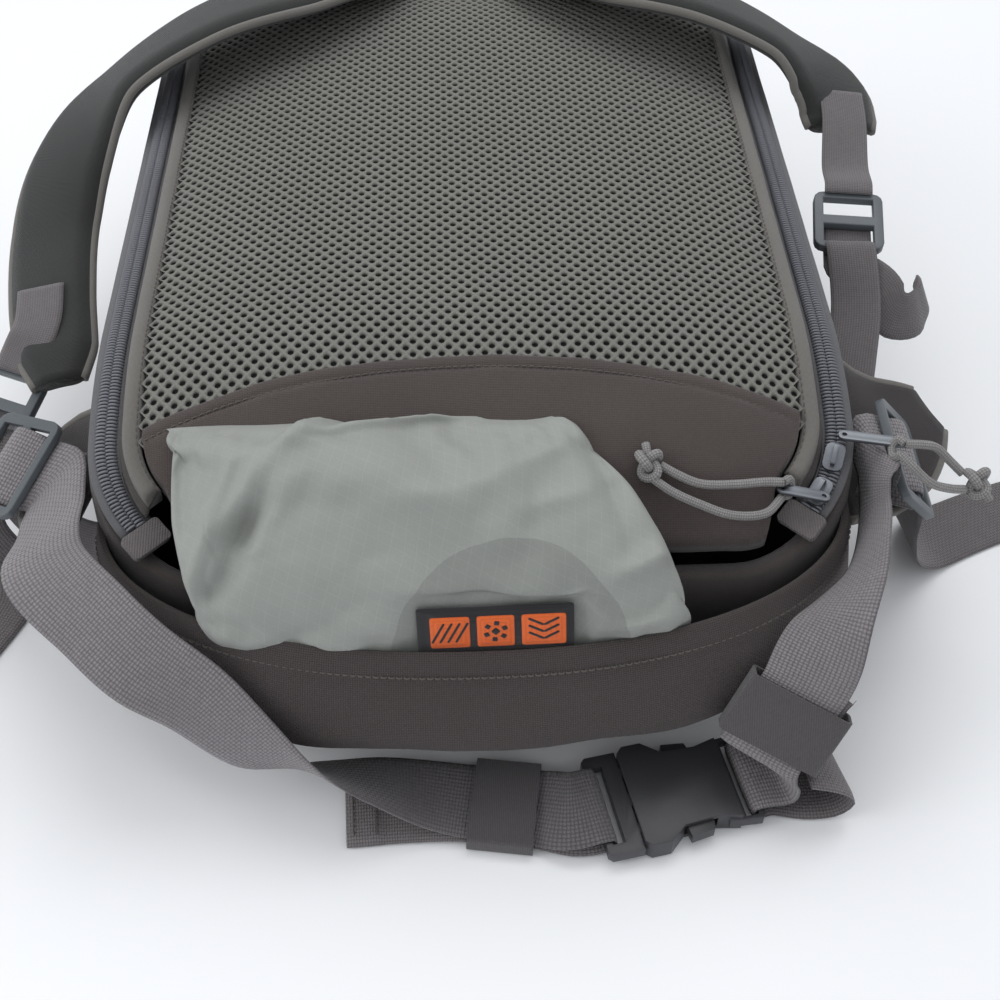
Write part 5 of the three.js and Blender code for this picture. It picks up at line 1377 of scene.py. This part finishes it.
lock_frames = {
    "left": fitting_frame(at(-1.353, -0.29, 0.5), (-0.35, -0.85, -0.4), (0.9, -0.42, 0)),
    "right": fitting_frame(at(1.143, -0.03, 0.81), (-0.12, -0.97, -0.2), (0.98, -0.14, 0)),
}
lock_way = [(-1.8, 4.2), (3, 4.2), (12, 3.8), (20, 4.4), (24, 4.8)]
upper_webs = {
    "left": stops(
        (-1.27, -0.07, 0.675, 0.98, -0.05, 0.15), (-1.26, -0.15, 0.655, 0.98, -0.05, 0.1),
        (-1.27, -0.19, 0.64, 0.95, -0.15, 0.05),
    ),
    "right": stops(
        (1.205, 0.31, 0.94, 0.98, 0.1, -0.1), (1.2, 0.24, 0.91, 0.98, 0.1, -0.1),
        (1.175, 0.12, 0.85, 0.98, 0, 0),
    ),
}
lower_webs = {
    "left": stops(
        (-1.36, -0.385, 0.36, 0.85, -0.35, 0), (-1.26, -0.455, 0.29, 0.6, 0.3, 0.5),
        (-1.13, -0.515, 0.265, 0.3, 0.5, 0.7), (-1.024, -0.54, 0.27, 0, 0.65, 0.75),
    ),
    "right": stops(
        (1.2, -0.165, 0.72, 0.8, 0.2, 0.4), (1.245, -0.205, 0.665, 0.4, 0.6, 0.7),
        (1.32, -0.19, 0.645, 0, 0.65, 0.76), (1.36, -0.135, 0.65, -0.1, 0.65, 0.76),
    ),
}
shoulder_web = webbing_finish("shoulder_webbing", srgb(110, 105, 107), 0.75, shoulder_width, 1.3 * MM,
                              0.3 * MM)
for side in ("left", "right"):
    stations = upper_webs[side] + frame_stops(lock_frames[side], (-23, -4.6), (-17, -3.9))
    rings = ribbon(stations, shoulder_width, web_thick, step=3 * MM)
    strip_piece("strap_web_" + side, rings, shoulder_web, ["strap_webbing_" + side])
    stations = frame_stops(lock_frames[side], *lock_way) + lower_webs[side]
    rings = ribbon(stations, shoulder_width, web_thick, step=3 * MM, folded=10 * MM)
    strip_piece("lower_web_" + side, rings, shoulder_web, ["lower_webbing_" + side])
    softened("ladder_lock_moulded_" + side, "ladder_lock_" + side, hard_plastic, 0.7 * MM)
anchor_places = frame_stops(lock_frames["right"], (20, 3.0), (14, 1.5), (17, -3.5)) + stops(
    (1.13, -0.2, 0.7, 0.98, -0.1, 0.1), (1.09, -0.31, 0.64, 0.98, 0, 0.1), (1.05, -0.4, 0.6, 0.95, 0, 0.2),
)
anchor_rings = ribbon(anchor_places, shoulder_width, web_thick, step=3 * MM)
strip_piece("lower_anchor_right", anchor_rings, shoulder_web)

# Haul loop: webbing of 25 mm, sewn into the top end's seam.
haul_half, haul_rise, haul_y = 17 * MM, 26 * MM, 221 * MM
foot = panel_height(haul_half, 208.5 * MM) - 0.3 * MM
haul_places = [(1, 0), (1, 0.35), (0.75, 0.8), (0, 1), (-0.75, 0.8), (-1, 0.35), (-1, 0)]
haul_stations = [(Vector((haul_half * x, haul_y, foot + haul_rise * z)), Vector((0, 1, 0)), 1, 1)
                 for x, z in haul_places]
haul_rings = ribbon(haul_stations, shoulder_width, web_thick, step=3 * MM)
strip_piece("haul_webbing", haul_rings, shoulder_web, ["haul_loop"])
